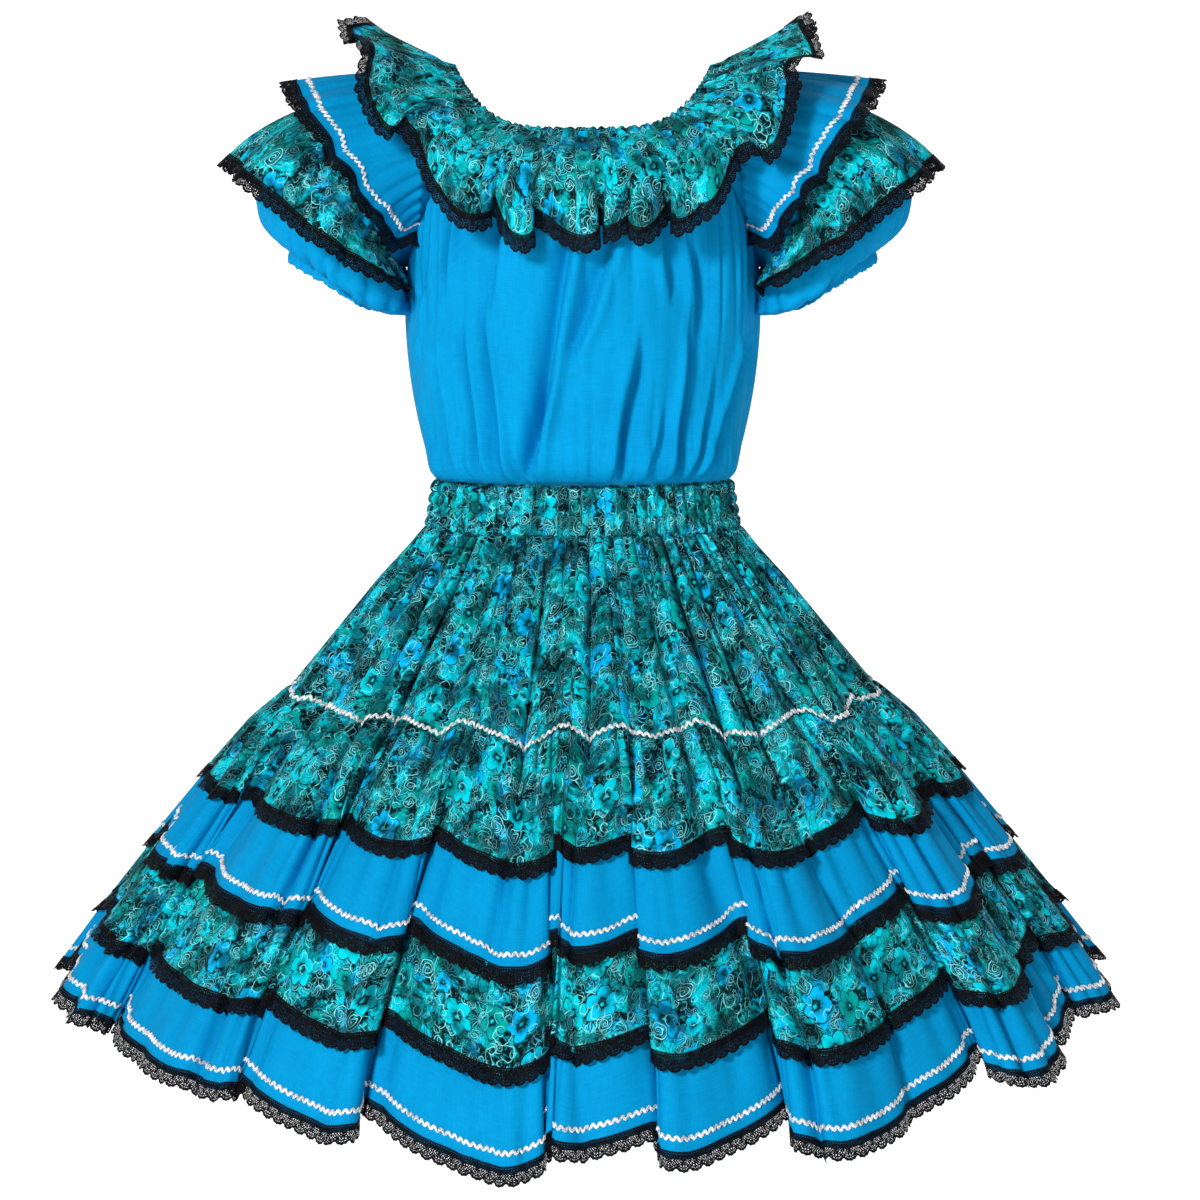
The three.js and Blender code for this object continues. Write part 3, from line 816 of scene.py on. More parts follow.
def fold_columns(folds):
    """Columns round the ring: angle, sway, height, depth share and hang share of each."""
    start, roll, depth, hang = folds[:-1].T
    width = np.diff(folds[:, 0])
    count = (width * STEPS_PER_DEGREE).astype(int)
    which = np.repeat(np.arange(len(start)), count)
    u = np.concatenate([np.arange(n) / n for n in count])
    lead = np.radians(np.where(roll > 0, FOLD_LEAD, 360 - FOLD_LEAD))[which]
    # Two folds that lean towards each other lean less, so that they don't cross.
    facing = ((roll > 0) & (np.roll(roll, -1) < 0)) | ((roll < 0) & (np.roll(roll, 1) > 0))
    calm = np.where(facing, FACING_CALM, 1.0)[which]
    wide = width[which]
    return {
        "angle": start[which] + wide * u,
        "sway": -calm * wide * (np.sin(2 * np.pi * u - lead) + np.sin(lead)) / (2 * np.pi),
        "height": (1 - np.cos(2 * np.pi * u)) / 2,
        "depth": depth[which],
        "hang": hang[which],
        "u": np.arange(len(which)) / len(which),
    }


SKIRT = fold_columns(SKIRT_FOLDS)
print("columns round the skirt:", len(SKIRT["u"]))

# %% [markdown]
# ## The skirt's levels
# One table says how wide, how deep and how folded the skirt is at each height, in millimetres. Every tier is
# a stretch of this one surface, standing a little further off it the lower it goes, so that a tier's hem
# always clears the tier below.

# %% Skirt surface
LEVEL_NAMES = ["top", "hip", "seam", "second", "third", "hem2", "fourth", "hem3", "fifth", "hem4", "hem5"]
LEVELS = np.array([  # z, half width, half depth, fold depth, fold roll, hem wave, swing of the sides
    (-41, 138, 113, 2, 0.1, 0, 0), (-94, 181, 172, 10, 0.4, 3, 0), (-193, 261, 261, 20, 0.50, 9, 0),
    (-226, 295, 294, 26, 0.66, 12, 3), (-266, 323, 321, 31, 0.90, 16, 8), (-276, 330, 328, 32, 0.94, 17, 9),
    (-334, 370, 368, 36, 1.02, 21, 15), (-345, 378, 376, 37, 1.04, 22, 15.3),
    (-400, 417, 413, 39, 1.08, 23, 17), (-411, 425, 421, 40, 1.10, 23.5, 19.4),
    (-475, 460, 460, 43, 1.20, 24, 33),
])
FOLD_MIDDLE = 0.55  # the share of a fold's height that lies inside the level's oval


def skirt_surface(level):
    """Points of the skirt at a column of levels (0 top to 10 hem), for all its columns round."""
    columns = (np.interp(level, np.arange(len(LEVELS)), c) for c in LEVELS.T)
    z, side, front, depth, roll, wave, swing = columns
    angle = SKIRT["angle"] + SKIRT["sway"] * roll[:, None]
    out = depth[:, None] * SKIRT["depth"] * (SKIRT["height"] - FOLD_MIDDLE)
    drop = wave[:, None] * (0.5 - SKIRT["height"] * SKIRT["hang"])
    drop = drop + swing[:, None] * np.sin(np.radians(SKIRT["angle"])) ** 2
    return oval(side[:, None], front[:, None], angle, out, z[:, None] + drop) * MM


print("skirt levels:", LEVEL_NAMES)

# %% [markdown]
# ## Five tiers
# Each tier is gathered onto the one above, so fine gathers start at its top edge and run out downwards, and a
# few broader creases cross it at a slant. Near the hem the cloth flutters a little.

# %% Tiers
TIERS = {  # from and to (levels), stand-off at top and hem (mm), gathers: count, height (mm), reach down (mm)
    "skirt_tier_1": dict(
        span=("top", "seam"), off=(1.2, 1.6), count=84, gather=4.6, reach=110, cloth="print"),
    "skirt_tier_2": dict(
        span=("seam", "hem2"), off=(1.2, 6.4), count=112, gather=4.4, reach=70, cloth="print"),
    "skirt_tier_3": dict(
        span=("third", "hem3"), off=(1.2, 6.4), count=120, gather=5.4, reach=90, cloth="blue"),
    "skirt_tier_4": dict(
        span=("fourth", "hem4"), off=(1.2, 6.4), count=124, gather=4.6, reach=70, cloth="print"),
    "skirt_tier_5": dict(
        span=("fifth", "hem5"), off=(1.2, 4.8), count=130, gather=5.8, reach=100, cloth="blue"),
}
ROWS_DOWN = 15
TOP_CROWDING = 1.25  # above 1, the rows lie closer together near the top
TIER_SEED = 11
LEAN = 0.35
HEM_HANG = 0.5
LARGE_CREASES = dict(count=37, seed=31, uneven=0.5)
SMALL_CREASES = dict(count=68, seed=32, uneven=0.5)
CREASE_SIZE = [0, 1, 2, 4, 10], [0.4, 5.6, 6.6, 6.4, 7.6]  # at these levels, in mm
SLIT_DEPTH = [0, 0.6, 2, 4, 10], [0, 8, 10, 7, 6]  # at these levels, in mm
SLIT_WIDE = 0.16
walls = {}


def drape(level):
    """Creases between the large folds, in mm, shared by all tiers so that none cuts into the next. Narrow slits
    lie between the large ones."""
    u = SKIRT["u"] + 0.004 * np.sin(2 * np.pi * 3 * SKIRT["u"] + 0.5 * level)
    size, deep = np.interp(level, *CREASE_SIZE), np.interp(level, *SLIT_DEPTH)
    slit = bell(np.sin(gather_turn(u, **LARGE_CREASES) / 2), 0, SLIT_WIDE)
    deep = deep * (0.65 + 0.35 * (np.sin(2 * np.pi * 9 * u + 1) + np.sin(2 * np.pi * 14 * u + 2)))
    ridges = ripple(u, **LARGE_CREASES, sharp=0.7) + 0.45 * ripple(u, **SMALL_CREASES)
    return size * ridges - deep * slit


def tier_points(index, tier):
    """A tier's outer face: the skirt's surface moved out by its stand-off, its creases and its own gathers."""
    first, last = (LEVEL_NAMES.index(n) for n in tier["span"])
    t = np.linspace(0, 1, ROWS_DOWN) ** TOP_CROWDING
    z = np.interp(t, [0, 1], [LEVELS[first, 0], LEVELS[last, 0]])
    level = np.interp(-z, -LEVELS[:, 0], np.arange(len(LEVELS)))
    base = skirt_surface(level)
    down = (np.concatenate([[0], np.cumsum(lengths(base, 0).mean(1))]) / MM)[:, None]
    off = np.interp(t, [0, 1], tier["off"])[:, None]
    fine = tier["gather"] * ripple(SKIRT["u"], tier["count"], TIER_SEED + index, sharp=0.65)
    # Under the hem of the tier above, the gathers stay flat.
    covered = 0.5 if index > 1 else 0.0
    room = 1 - covered * (1 - smooth_step(down, 8, 22))
    fine = fine * room * smooth_step(down, -3, 6) * np.exp(-np.clip(down - 10, 0, None) / tier["reach"])
    creases = drape(level[:, None])
    # The creases lean sideways, towards the middle of the front, like the large folds.
    square = normals_of(base, True)
    sideways = unit(np.roll(base, -1, 1) - np.roll(base, 1, 1))
    lean = LEAN * -np.clip(3 * np.sin(np.radians(SKIRT["angle"])), -1, 1) * creases
    # A crease that stands out hangs a little lower at the hem.
    downwards = unit(np.gradient(base, axis=0))
    hang = HEM_HANG * np.clip(creases, -5, None) * t[:, None] ** 2 * (index > 0)
    outwards = square * (off + fine + creases)[..., None]
    return base + (outwards + sideways * lean[..., None] + downwards * hang[..., None]) * MM


def gathered_piece(node, cloth, turn, fullness=1.0):
    """A gathered ring of cloth, with the print at its true scale on each gather."""
    u, ring_width = gathered_u(walls[node], turn, fullness)
    return cloth_piece(node, walls[node], True, cloth, u, ring_width)


for tier_index, (tier_name, tier) in enumerate(TIERS.items()):
    walls[tier_name] = tier_points(tier_index, tier)
    gathered_piece(tier_name, tier["cloth"], gather_turn(SKIRT["u"], tier["count"], TIER_SEED + tier_index))
print("tiers:", {n: w.shape for n, w in walls.items()})

# %% [markdown]
# ## Waistband
# Rows of elastic draw the waistband up. Between two rows the cloth puffs, and each row of elastic pulls it
# into many small uneven puckers.

# %% Waistband
BAND_TOP, BAND_BOTTOM = -0.5, -42.5
BAND_SIDE, BAND_FRONT = (131, 138), (95, 113)
ELASTIC_ROWS = 4
BAND_COLUMNS = 600
BAND_ROWS = 25
BAND_GATHERS = 84, 11  # count and seed
BAND_STAND, BAND_PUFF = 1.8, 1.6
GATHERED_IN = 2.0  # metres of flat cloth to a metre of waistband


def waistband_points():
    """An oval band whose face swells between its elastic rows and puckers along them."""
    t = np.linspace(0, 1, BAND_ROWS)[:, None]
    u = band_u[None, :]
    side, front = np.interp(t, [0, 1], BAND_SIDE), np.interp(t, [0, 1], BAND_FRONT)
    between = np.abs(np.sin(np.pi * t * ELASTIC_ROWS)) ** 0.7
    swell = BAND_PUFF * between + BAND_STAND
    row = np.floor(t * ELASTIC_ROWS + 0.5)
    pucker = 2.4 * ripple(u + 0.0008 * row, *BAND_GATHERS) + 0.9 * ripple(u - 0.004 * row, 141, 6)
    out = swell + pucker * (0.8 + 0.5 * between)
    z = BAND_TOP + (BAND_BOTTOM - BAND_TOP) * t
    return oval(side, front, 360 * u, out, z + 0.9 * ripple(u, 60, 8)) * MM


band_u = np.arange(BAND_COLUMNS) / BAND_COLUMNS
walls["waistband"] = waistband_points()
gathered_piece("waistband", "print", gather_turn(band_u, *BAND_GATHERS), GATHERED_IN)
print("waistband rows and columns:", walls["waistband"].shape[:2])

# %% [markdown]
# ## Bodice
# Front and back are gathered into the neck elastic and into the waist, with raglan seams to the sleeves. The
# panel is drawn between its waist edge and its top edge and filled out by a bust. The creases are listed one
# by one, each a soft trough along a slanting line.

# %% Bodice
NECK = dict(side=112, front=90, back=92, z=306, rise=58, power=4)
RAGLAN = {"front": 48, "back": 132}
UNDERARM = np.array([155, 4, 190])
RAGLAN_PULL = {"front": np.array([132, -92, 262]), "back": np.array([132, 88, 262])}
BODICE_HEM = 1.4
NECK_SHARE = 0.46  # the share of the panel's top edge that lies along the neckline
FULLNESS = {"front": 26, "back": 12}
SIDE_EASE = 11
BLOUSE = 7  # how far the cloth bags out over the waistband
TUCK_DEPTH = 3.1
TUCK_SHARE = 0.8
HALF_WIDE = 215  # mm of cloth from the panel's middle to its side
FACE = 1.6  # how far the cloth's face lies off the line that a panel is drawn on, the wall of its solid
WAIST = (131, 95)
CREASES = {  # across and up at the top end, then at the bottom end; width and depth in mm
    "front": np.array([
        (-0.015, 0.80, -0.19, 0.0, 7, 7), (0.13, 0.74, -0.03, 0.38, 7, 5), (0.40, 0.70, 0.45, 0.42, 8, 4),
        (-0.72, 0.70, -0.88, 0.44, 8, 4), (-0.47, 0.42, -0.40, 0.0, 5, 5), (-0.36, 0.50, -0.31, 0.0, 5, 6),
        (-0.10, 0.30, -0.24, 0.0, 6, 4), (0.19, 0.40, 0.115, 0.0, 6, 6), (0.40, 0.46, 0.37, 0.0, 6, 6),
        (0.55, 0.30, 0.46, 0.0, 5, 4), (0.80, 0.52, 0.53, 0.0, 7, 6), (-0.66, 0.46, -0.57, 0.0, 6, 5),
        (-0.28, 0.84, -0.33, 0.52, 7, 4), (0.27, 0.84, 0.31, 0.55, 7, 4), (-0.86, 0.36, -0.72, 0.0, 6, 4),
        (0.88, 0.66, 0.95, 0.35, 8, 3), (0.30, 0.20, 0.26, 0.0, 5, 3), (-0.52, 0.84, -0.58, 0.60, 7, 4),
    ]),
    "back": np.array([
        (-0.10, 0.78, -0.06, 0.2, 10, 4), (0.16, 0.74, 0.22, 0.3, 10, 4), (-0.42, 0.7, -0.52, 0.38, 9, 4),
        (0.46, 0.72, 0.56, 0.42, 9, 3.5), (-0.6, 0.34, -0.5, 0.0, 7, 4), (-0.3, 0.4, -0.26, 0.0, 7, 4.5),
        (-0.12, 0.3, -0.13, 0.0, 6, 3.5), (0.06, 0.36, 0.04, 0.0, 7, 4.5), (0.26, 0.28, 0.22, 0.0, 7, 4),
        (0.44, 0.4, 0.38, 0.0, 7, 4), (0.68, 0.32, 0.56, 0.0, 8, 4), (0.82, 0.5, 0.9, 0.3, 8, 3),
    ]),
}
BODICE_GRID = {"front": (64, 230), "back": (50, 130)}  # rows and columns


def neck_height(shape, degrees):
    """The height of a neckline or a ruffle's hem: z + rise |sin|^power."""
    return shape["z"] + shape["rise"] * np.abs(np.sin(np.radians(degrees))) ** shape["power"]


def neck_point(degrees, out=0.0):
    """The neckline: an oval that rises towards the shoulders as a power of the sine."""
    deep = np.where(np.cos(np.radians(degrees)) >= 0, NECK["front"], NECK["back"])
    out = np.broadcast_to(out, np.shape(degrees))
    return oval(NECK["side"], deep, degrees, out, neck_height(NECK, degrees))


def raglan(half, t):
    """A quadratic Bezier from the neckline to the underarm."""
    t = np.asarray(t)[..., None]
    start = neck_point(np.array(float(RAGLAN[half])))
    return (1 - t) ** 2 * start + 2 * t * (1 - t) * RAGLAN_PULL[half] + t**2 * UNDERARM


def tucks(half, u, v):
    """Each crease in mm: a soft slope outside, a sharp step on its inner side, and a low ridge past it."""
    trough = np.zeros((len(v), len(u)))
    for u1, v1, u0, v0, wide, deep in CREASES[half]:
        t = np.clip((v - v0) / (v1 - v0), 0, 1)
        centre = u0 + (u1 - u0) * t + 0.004 * np.sin(7 * t + 9 * u0)
        reach = smooth_step(v, v0 - 0.06, v0 + 0.05) * (1 - smooth_step(v, v1 - 0.12, v1 + 0.06))
        distance = (u - centre) * HALF_WIDE / wide
        slope = np.where(distance * u0 > 0, distance * 0.65, distance * 5.0)
        ridge = np.exp(-((np.abs(distance) - 1.0) ** 2) * 2.2) * (distance * u0 <= 0)
        trough = trough - TUCK_DEPTH * deep * reach * (np.exp(-(slope**2)) - 0.35 * ridge)
    return trough * TUCK_SHARE


def bodice_points(half):
    """A panel from waist to neck and raglan seams: (rows from the top down, columns by angle)."""
    front = half == "front"
    rows, columns = BODICE_GRID[half]
    u = np.linspace(-1, 1, columns)
    v = np.linspace(1, 0, rows)[:, None]
    across = np.abs(u)
    side = np.where(u < 0, -1, 1) * (1 if front else -1)
    neck_angle = RAGLAN["front"] * across / NECK_SHARE
    if not front:
        neck_angle = 180 - (180 - RAGLAN["back"]) * across / NECK_SHARE
    on_neck = across <= NECK_SHARE
    edge = np.where(
        on_neck[:, None],
        neck_point(np.where(on_neck, neck_angle, RAGLAN[half])),
        raglan(half, np.clip((across - NECK_SHARE) / (1 - NECK_SHARE), 0, 1)),
    )
    edge = edge * np.stack([side, np.ones_like(u), np.ones_like(u)], -1)
    turn = (0 if front else 180) + 89.6 * u
    low = oval(WAIST[0], WAIST[1], turn, np.zeros_like(u), BODICE_HEM)
    p = low + (edge - low) * v[..., None]
    square = np.stack([np.sin(np.radians(turn)), -np.cos(np.radians(turn)), np.zeros_like(u)], -1)
    middle = np.cos(np.radians(90 * u))
    ease = (SIDE_EASE + FULLNESS[half] * middle**2) * np.sin(np.pi * v) ** 0.7
    # Gathers hang from the neck elastic, and others stand up from the waist to uneven heights.
    along = (u + 1) / 2
    fine = 3.2 * ripple(along, 34, 21 + front, sharp=0.6) * np.exp(-v / 0.17) * smooth_step(v, 0, 0.03)
    reach_down = 0.5 + 0.16 * np.sin(9 * u) * np.sin(23 * u + 1)
    high = 4.6 * ripple(along + 0.02 * u * (1 - v), 24, 25 + front, sharp=0.6)
    fine = fine + high * smooth_step(v, reach_down - 0.12, 0.9)
    blouse = BLOUSE * bell(v, 0.06, 0.07) * smooth_step(v, 0, 0.03) * (1 - smooth_step(across, 0.7, 1))
    edge_fade = smooth_step(1 - across, 0, 0.06)
    out = ease + (fine + tucks(half, u, v) + blouse) * edge_fade + FACE
    return (p + square * out[..., None]) * MM


for half in ("front", "back"):
    walls["bodice_" + half] = bodice_points(half)
    cloth_piece("bodice_" + half, walls["bodice_" + half], False, "blue")
print("bodice rows and columns:", walls["bodice_front"].shape[:2])

# %% [markdown]
# ## Puff sleeves
# A sleeve starts as the armhole, swells, and is drawn in by elastic at the cuff, with a short frill beyond
# it. Its ovals tilt as the arm would hold them, down and outwards.

# %% Sleeves
SLEEVE_OVALS = np.array([  # outer point x, z, inner point x, z, half depth
    (198, 353, 171, 190, 82), (257, 315, 177, 176, 84), (287, 251, 178, 159, 78), (266, 192, 180, 147, 52),
])
CUFF = len(SLEEVE_OVALS)  # a place along the sleeve runs from 0 at the armhole to this at the cuff's edge
NECK_TURN = 70
SLEEVE_COLUMNS = 190
SLEEVE_ROWS, CUFF_ROWS = 26, 26
ELASTIC_PLACE = 3.78
BAG, BAG_SPREAD = 25.0, 52  # how far the cloth hangs down under the arm (mm), and how far round (degrees)
SIDES = {"left": 1, "right": -1}
SLEEVE_SEED = 50


def armhole(turn):
    """The wearer's left armhole, from the shoulder's top (0) by the front (90) and the underarm (180)."""
    turn = np.mod(turn, 360)
    front = turn <= 180
    down = np.where(front, turn, 360 - turn)
    low = np.clip((down - NECK_TURN) / (180 - NECK_TURN), 0, 1)
    seam = np.where(front[..., None], raglan("front", low), raglan("back", low))
    reach = np.where(front, RAGLAN["front"] - 90, RAGLAN["back"] - 90)
    top = neck_point(90 + reach * np.minimum(down, NECK_TURN) / NECK_TURN)
    return np.where((down > NECK_TURN)[..., None], seam, top)


def sleeve_ring(oval_row, turn):
    """One tilted oval of the sleeve, from its outer point to its inner point and back."""
    x1, z1, x0, z0, deep = oval_row
    c, s = np.cos(np.radians(turn)), np.sin(np.radians(turn))
    return np.stack([(x1 + x0) / 2 + (x1 - x0) / 2 * c, -deep * s, (z1 + z0) / 2 + (z1 - z0) / 2 * c], -1)


def sleeve_surface(place, turn):
    """Points at a place along the sleeve and a turn round it, in mm, on straight lines between two ovals."""
    place, turn = np.broadcast_arrays(np.asarray(place, float), np.asarray(turn, float))
    rings = [armhole(turn)] + [sleeve_ring(row, turn) for row in SLEEVE_OVALS]
    k = np.clip(np.floor(place), 0, CUFF - 1)
    out = np.zeros(place.shape + (3,))
    for i in range(CUFF):
        share = (place - i)[..., None]
        out = np.where((k == i)[..., None], rings[i] * (1 - share) + rings[i + 1] * share, out)
    return out


def sleeve_square(place, turn):
    """Outward normals of the sleeve's surface, from points a small step along it and round it."""
    h, few = 0.05, 3
    along = sleeve_surface(np.minimum(place + h, CUFF), turn) - sleeve_surface(np.maximum(place - h, 0), turn)
    around = sleeve_surface(place, turn + few) - sleeve_surface(place, turn - few)
    return unit(np.cross(around, along))


def mirrored(points, side):
    """The wearer's right is the mirror of the left, with the columns in the other order."""
    return points if side > 0 else (points * [-1, 1, 1])[:, ::-1]


def underarm(place, turn):
    """How far the sleeve's cloth bags down under the arm, in mm."""
    return BAG * bell(np.abs(turn), 180, BAG_SPREAD) * smooth_step(place, 0.5, 1.8)


def sleeve_points(side, seed):
    """Rows from the armhole to the cuff's frill: slow swells, puckers that grow towards the elastic, and the
    groove that the elastic draws."""
    rows = np.concatenate([np.linspace(0.03, 3.0, SLEEVE_ROWS), np.linspace(3.04, CUFF, CUFF_ROWS)])
    place = rows[:, None]
    turn = -360 * np.arange(SLEEVE_COLUMNS)[None, :] / SLEEVE_COLUMNS
    u = turn / 360
    # Under the arm the sleeve is shorter, so that its frill ends in a round corner.
    place = place * (1 - 0.10 * bell(np.abs(turn), 180, 42))
    base = sleeve_surface(place, turn)
    square = sleeve_square(place, turn)
    drawn = -7.0 * bell(place, ELASTIC_PLACE, 0.10) - 5.0 * smooth_step(place, 3.3, 3.9)
    puff = 5.0 * bell(place, 3.25, 0.35)
    fine = 1.0 * ripple(u, 52, seed) * smooth_step(place, 3.3, 3.75)
    pucker = 4.0 * ripple(u + 0.01 * place, 22, seed + 1) * smooth_step(place, 2.5, 3.45)
    pucker = pucker * (1 - 0.6 * smooth_step(place, 3.5, 3.8))
    slow = 3.4 * ripple(u, 11, seed + 2) * smooth_step(place, 0.3, 1.2)
    slow = slow * (1 - smooth_step(place, 2.6, 3.6))
    out = drawn + puff + fine + pucker + slow + underarm(place, np.mod(turn, 360))
    return mirrored((base + square * out[..., None]) * MM, side)


for hand, side in SIDES.items():
    node = "sleeve_" + hand
    walls[node] = sleeve_points(side, SLEEVE_SEED + side)
    cloth_piece(node, walls[node], True, "blue")
print("sleeve rows and columns:", walls["sleeve_left"].shape[:2])

# %% [markdown]
# ## Sleeve flounces
# Two flounces lie over each sleeve, one below the other. Each is sewn on along a line round the sleeve, and
# its hem stands off in waves. Under the arm it runs out into the seam.

# %% Flounces
# top, end and off have a value for the seam, the middle row and the hem: the place along the sleeve at the
# strip's middle and at its ends, and the stand-off in mm.
FLOUNCES = {
    "upper": dict(
        cloth="blue", waves=6, wave=5, turn=150, bow=2.3, narrow=0.75, seed=202,
        top=(0.5, 1.15, 1.75), end=(0.2, 0.45, 0.7), off=(2.2, 8, 25),
    ),
    "lower": dict(
        cloth="print", waves=7, wave=5, turn=163, bow=1.6, narrow=0, seed=193,
        top=(1.6, 2.2, 2.75), end=(1.1, 1.7, 2.3), off=(1.2, 17, 33),
    ),
}
SEAM_GAP = 0.4
FLOUNCE_COLUMNS = 210
FLOUNCE_ROWS = 15
END_WAVE, END_STAND = 0.3, 0.24  # the shares of a wave and of a stand-off that are left at a strip's ends


def flounce_points(side, shape, seed):
    """Rows from the seam to the hem, interpolated through three guide rows, with waves and gathers."""
    across = np.linspace(1, -1, FLOUNCE_COLUMNS)[None, :]
    t = np.linspace(0, 2, FLOUNCE_ROWS)[:, None]
    turn = shape["turn"] * across
    fade = 1 - smooth_step(np.abs(across), 0.55, 1)
    guides = []
    for r in range(3):
        place = shape["top"][r] + (shape["end"][r] - shape["top"][r]) * np.abs(across) ** shape["bow"]
        # The last stretch narrows, so that the strip runs out into the seam.
        ends = smooth_step(np.abs(across), 0.9, 1.0) * (r > 0)
        place = place + (shape["end"][0] - place) * shape["narrow"] * ends
        wave = shape["wave"] * r * np.cos(np.pi * shape["waves"] * across) / 2
        stand = SEAM_GAP + (shape["off"][r] - SEAM_GAP) * (END_STAND + (1 - END_STAND) * fade)
        stand = stand + wave * (END_WAVE + (1 - END_WAVE) * fade) + underarm(place, turn)
        guides.append(sleeve_surface(place, turn) + sleeve_square(place, turn) * stand[..., None])
    a, b, c = (g[0][None] for g in guides)
    # A quadratic curve through the three guide rows.
    s = (t / 2)[..., None]
    p = a * (1 - s) * (1 - 2 * s) + b * 4 * s * (1 - s) + c * s * (2 * s - 1)
    u = (across + 1) / 2
    gather = 3.6 * ripple(u, 30, seed, sharp=0.6) * np.exp(-t * 1.1)
    gather = gather + 5.5 * ripple(u, 13, seed + 1) * (END_WAVE + (1 - END_WAVE) * fade) * t / 2
    square = normals_of(p, False)
    return mirrored((p + square * (FACE + gather)[..., None]) * MM, side)


for hand, side in SIDES.items():
    for where, shape in FLOUNCES.items():
        node = f"sleeve_{hand}_{where}_flounce"
        walls[node] = flounce_points(side, shape, shape["seed"] + side)
        cloth_piece(node, walls[node], False, shape["cloth"])
print("flounce rows and columns:", walls["sleeve_left_upper_flounce"].shape[:2])

# %% [markdown]
# ## Neck ruffle
# A long strip is gathered on elastic round the neckline. At the front and back it hangs in rolled folds; over
# the shoulders it stands up and out like wings.

# %% Neck ruffle
RUFFLE_FOLDS = np.array([
    (-92, 1, 0.8, 0.6), (-72, 1, 0.8, 0.8), (-50, 1, 1.15, 1.2), (-25, 1, 1.0, 1.1), (-10, 1, 0.75, 1.0),
    (6, -1, 0.75, 0.9), (22, -1, 1.0, 1.0), (44, -1, 1.2, 1.0), (66, -1, 1.0, 0.7), (90, -1, 0.8, 0.6),
    (112, -1, 1.0, 0.9), (134, -1, 1.1, 1.1), (157, -1, 0.9, 0.9), (178, 1, 1.0, 1.0), (200, 1, 1.1, 1.1),
    (222, 1, 0.9, 0.8), (246, 1, 0.8, 0.6), (268, 1, 0, 0),
])
RUFFLE = dict(  # the hem's oval, then how far the middle bows out, the folds' depth and the hem's wave (mm)
    side=192, front=134, back=132, fullness=0.55, z=223, rise=173, power=3.4, stand=13, fold=20, hang=20,
)
WING, WING_AT, WING_SPREAD = 15, 62, 18  # the shoulder wings reach further out, most at this angle
RUFFLE_ROLL = 0.8
RUFFLE_SEAT = (1.6, 1.0)
RUFFLE_ROWS = 22
RUFFLE_GATHERS = 74, 91  # count and seed
HEADING_GATHERS = 121, 92
FLUTES = 29, 93
FLUTE_DEPTH, FLUTE_HANG, FLUTE_LEAN = 7.5, 11.0, 5.0
RUFFLE_RING = fold_columns(RUFFLE_FOLDS)


def ruffle_points():
    """Rows from the elastic heading to the hem: lines to a wider oval, bowed, folded, fluted and gathered."""
    f = RUFFLE_RING
    t = np.linspace(0, 1, RUFFLE_ROWS)[:, None]
    angle = f["angle"] + f["sway"] * RUFFLE_ROLL * t
    top = neck_point(angle, RUFFLE_SEAT[0])
    top[..., 2] += RUFFLE_SEAT[1]
    s, c = np.sin(np.radians(angle)), np.cos(np.radians(angle))
    deep = np.where(c >= 0, RUFFLE["front"], RUFFLE["back"])
    low_y = -np.sign(c) * np.abs(c) ** RUFFLE["fullness"] * deep
    low = np.stack([RUFFLE["side"] * s, low_y, neck_height(RUFFLE, angle)], -1)
    p = top + (low - top) * t[..., None]
    from_front = np.degrees(np.arcsin(np.abs(s)))
    wing = WING * t * bell(from_front, WING_AT, WING_SPREAD)
    fold = RUFFLE["fold"] * f["depth"] * (f["height"] - 0.45) * t
    out = RUFFLE["stand"] * np.sin(np.pi * t) + wing + fold
    p = p + np.stack([s, -c, 0.35 * np.ones_like(s)], -1) * out[..., None]
    p[..., 2] += RUFFLE["hang"] * t * (0.5 - f["height"] * f["hang"])
    u = np.broadcast_to(f["u"], angle.shape)
    gather = 2.0 * ripple(u, *RUFFLE_GATHERS, sharp=0.6) * np.exp(-t / 0.35)
    gather = gather + 1.1 * ripple(u, *HEADING_GATHERS) * np.exp(-t / 0.12)
    flute = ripple(u, *FLUTES)
    gather = gather + FLUTE_DEPTH * flute * t
    elastic = -1.6 * bell(t, 0.08, 0.035)
    square = normals_of(p, True)
    p[..., 2] -= FLUTE_HANG * t**2 * flute
    # The flutes lean sideways, towards the middle of the front.
    lean = -FLUTE_LEAN * t * flute * np.clip(3 * s, -1, 1)
    p = p + np.stack([c, s, 0 * s], -1) * lean[..., None]
    return (p + square * (FACE + gather + elastic)[..., None]) * MM


walls["neck_ruffle"] = ruffle_points()
gathered_piece("neck_ruffle", "two-faced print", gather_turn(RUFFLE_RING["u"], *RUFFLE_GATHERS))
print("ruffle rows and columns:", walls["neck_ruffle"].shape[:2])

# %% [markdown]
# ## Edges that trim follows
# Lace and braid are placed by two numbers: how far along an edge, and how far above it (negative) or past it.
# `Edge` turns these into points, by walking up the panel's rows or straight on past its last row.


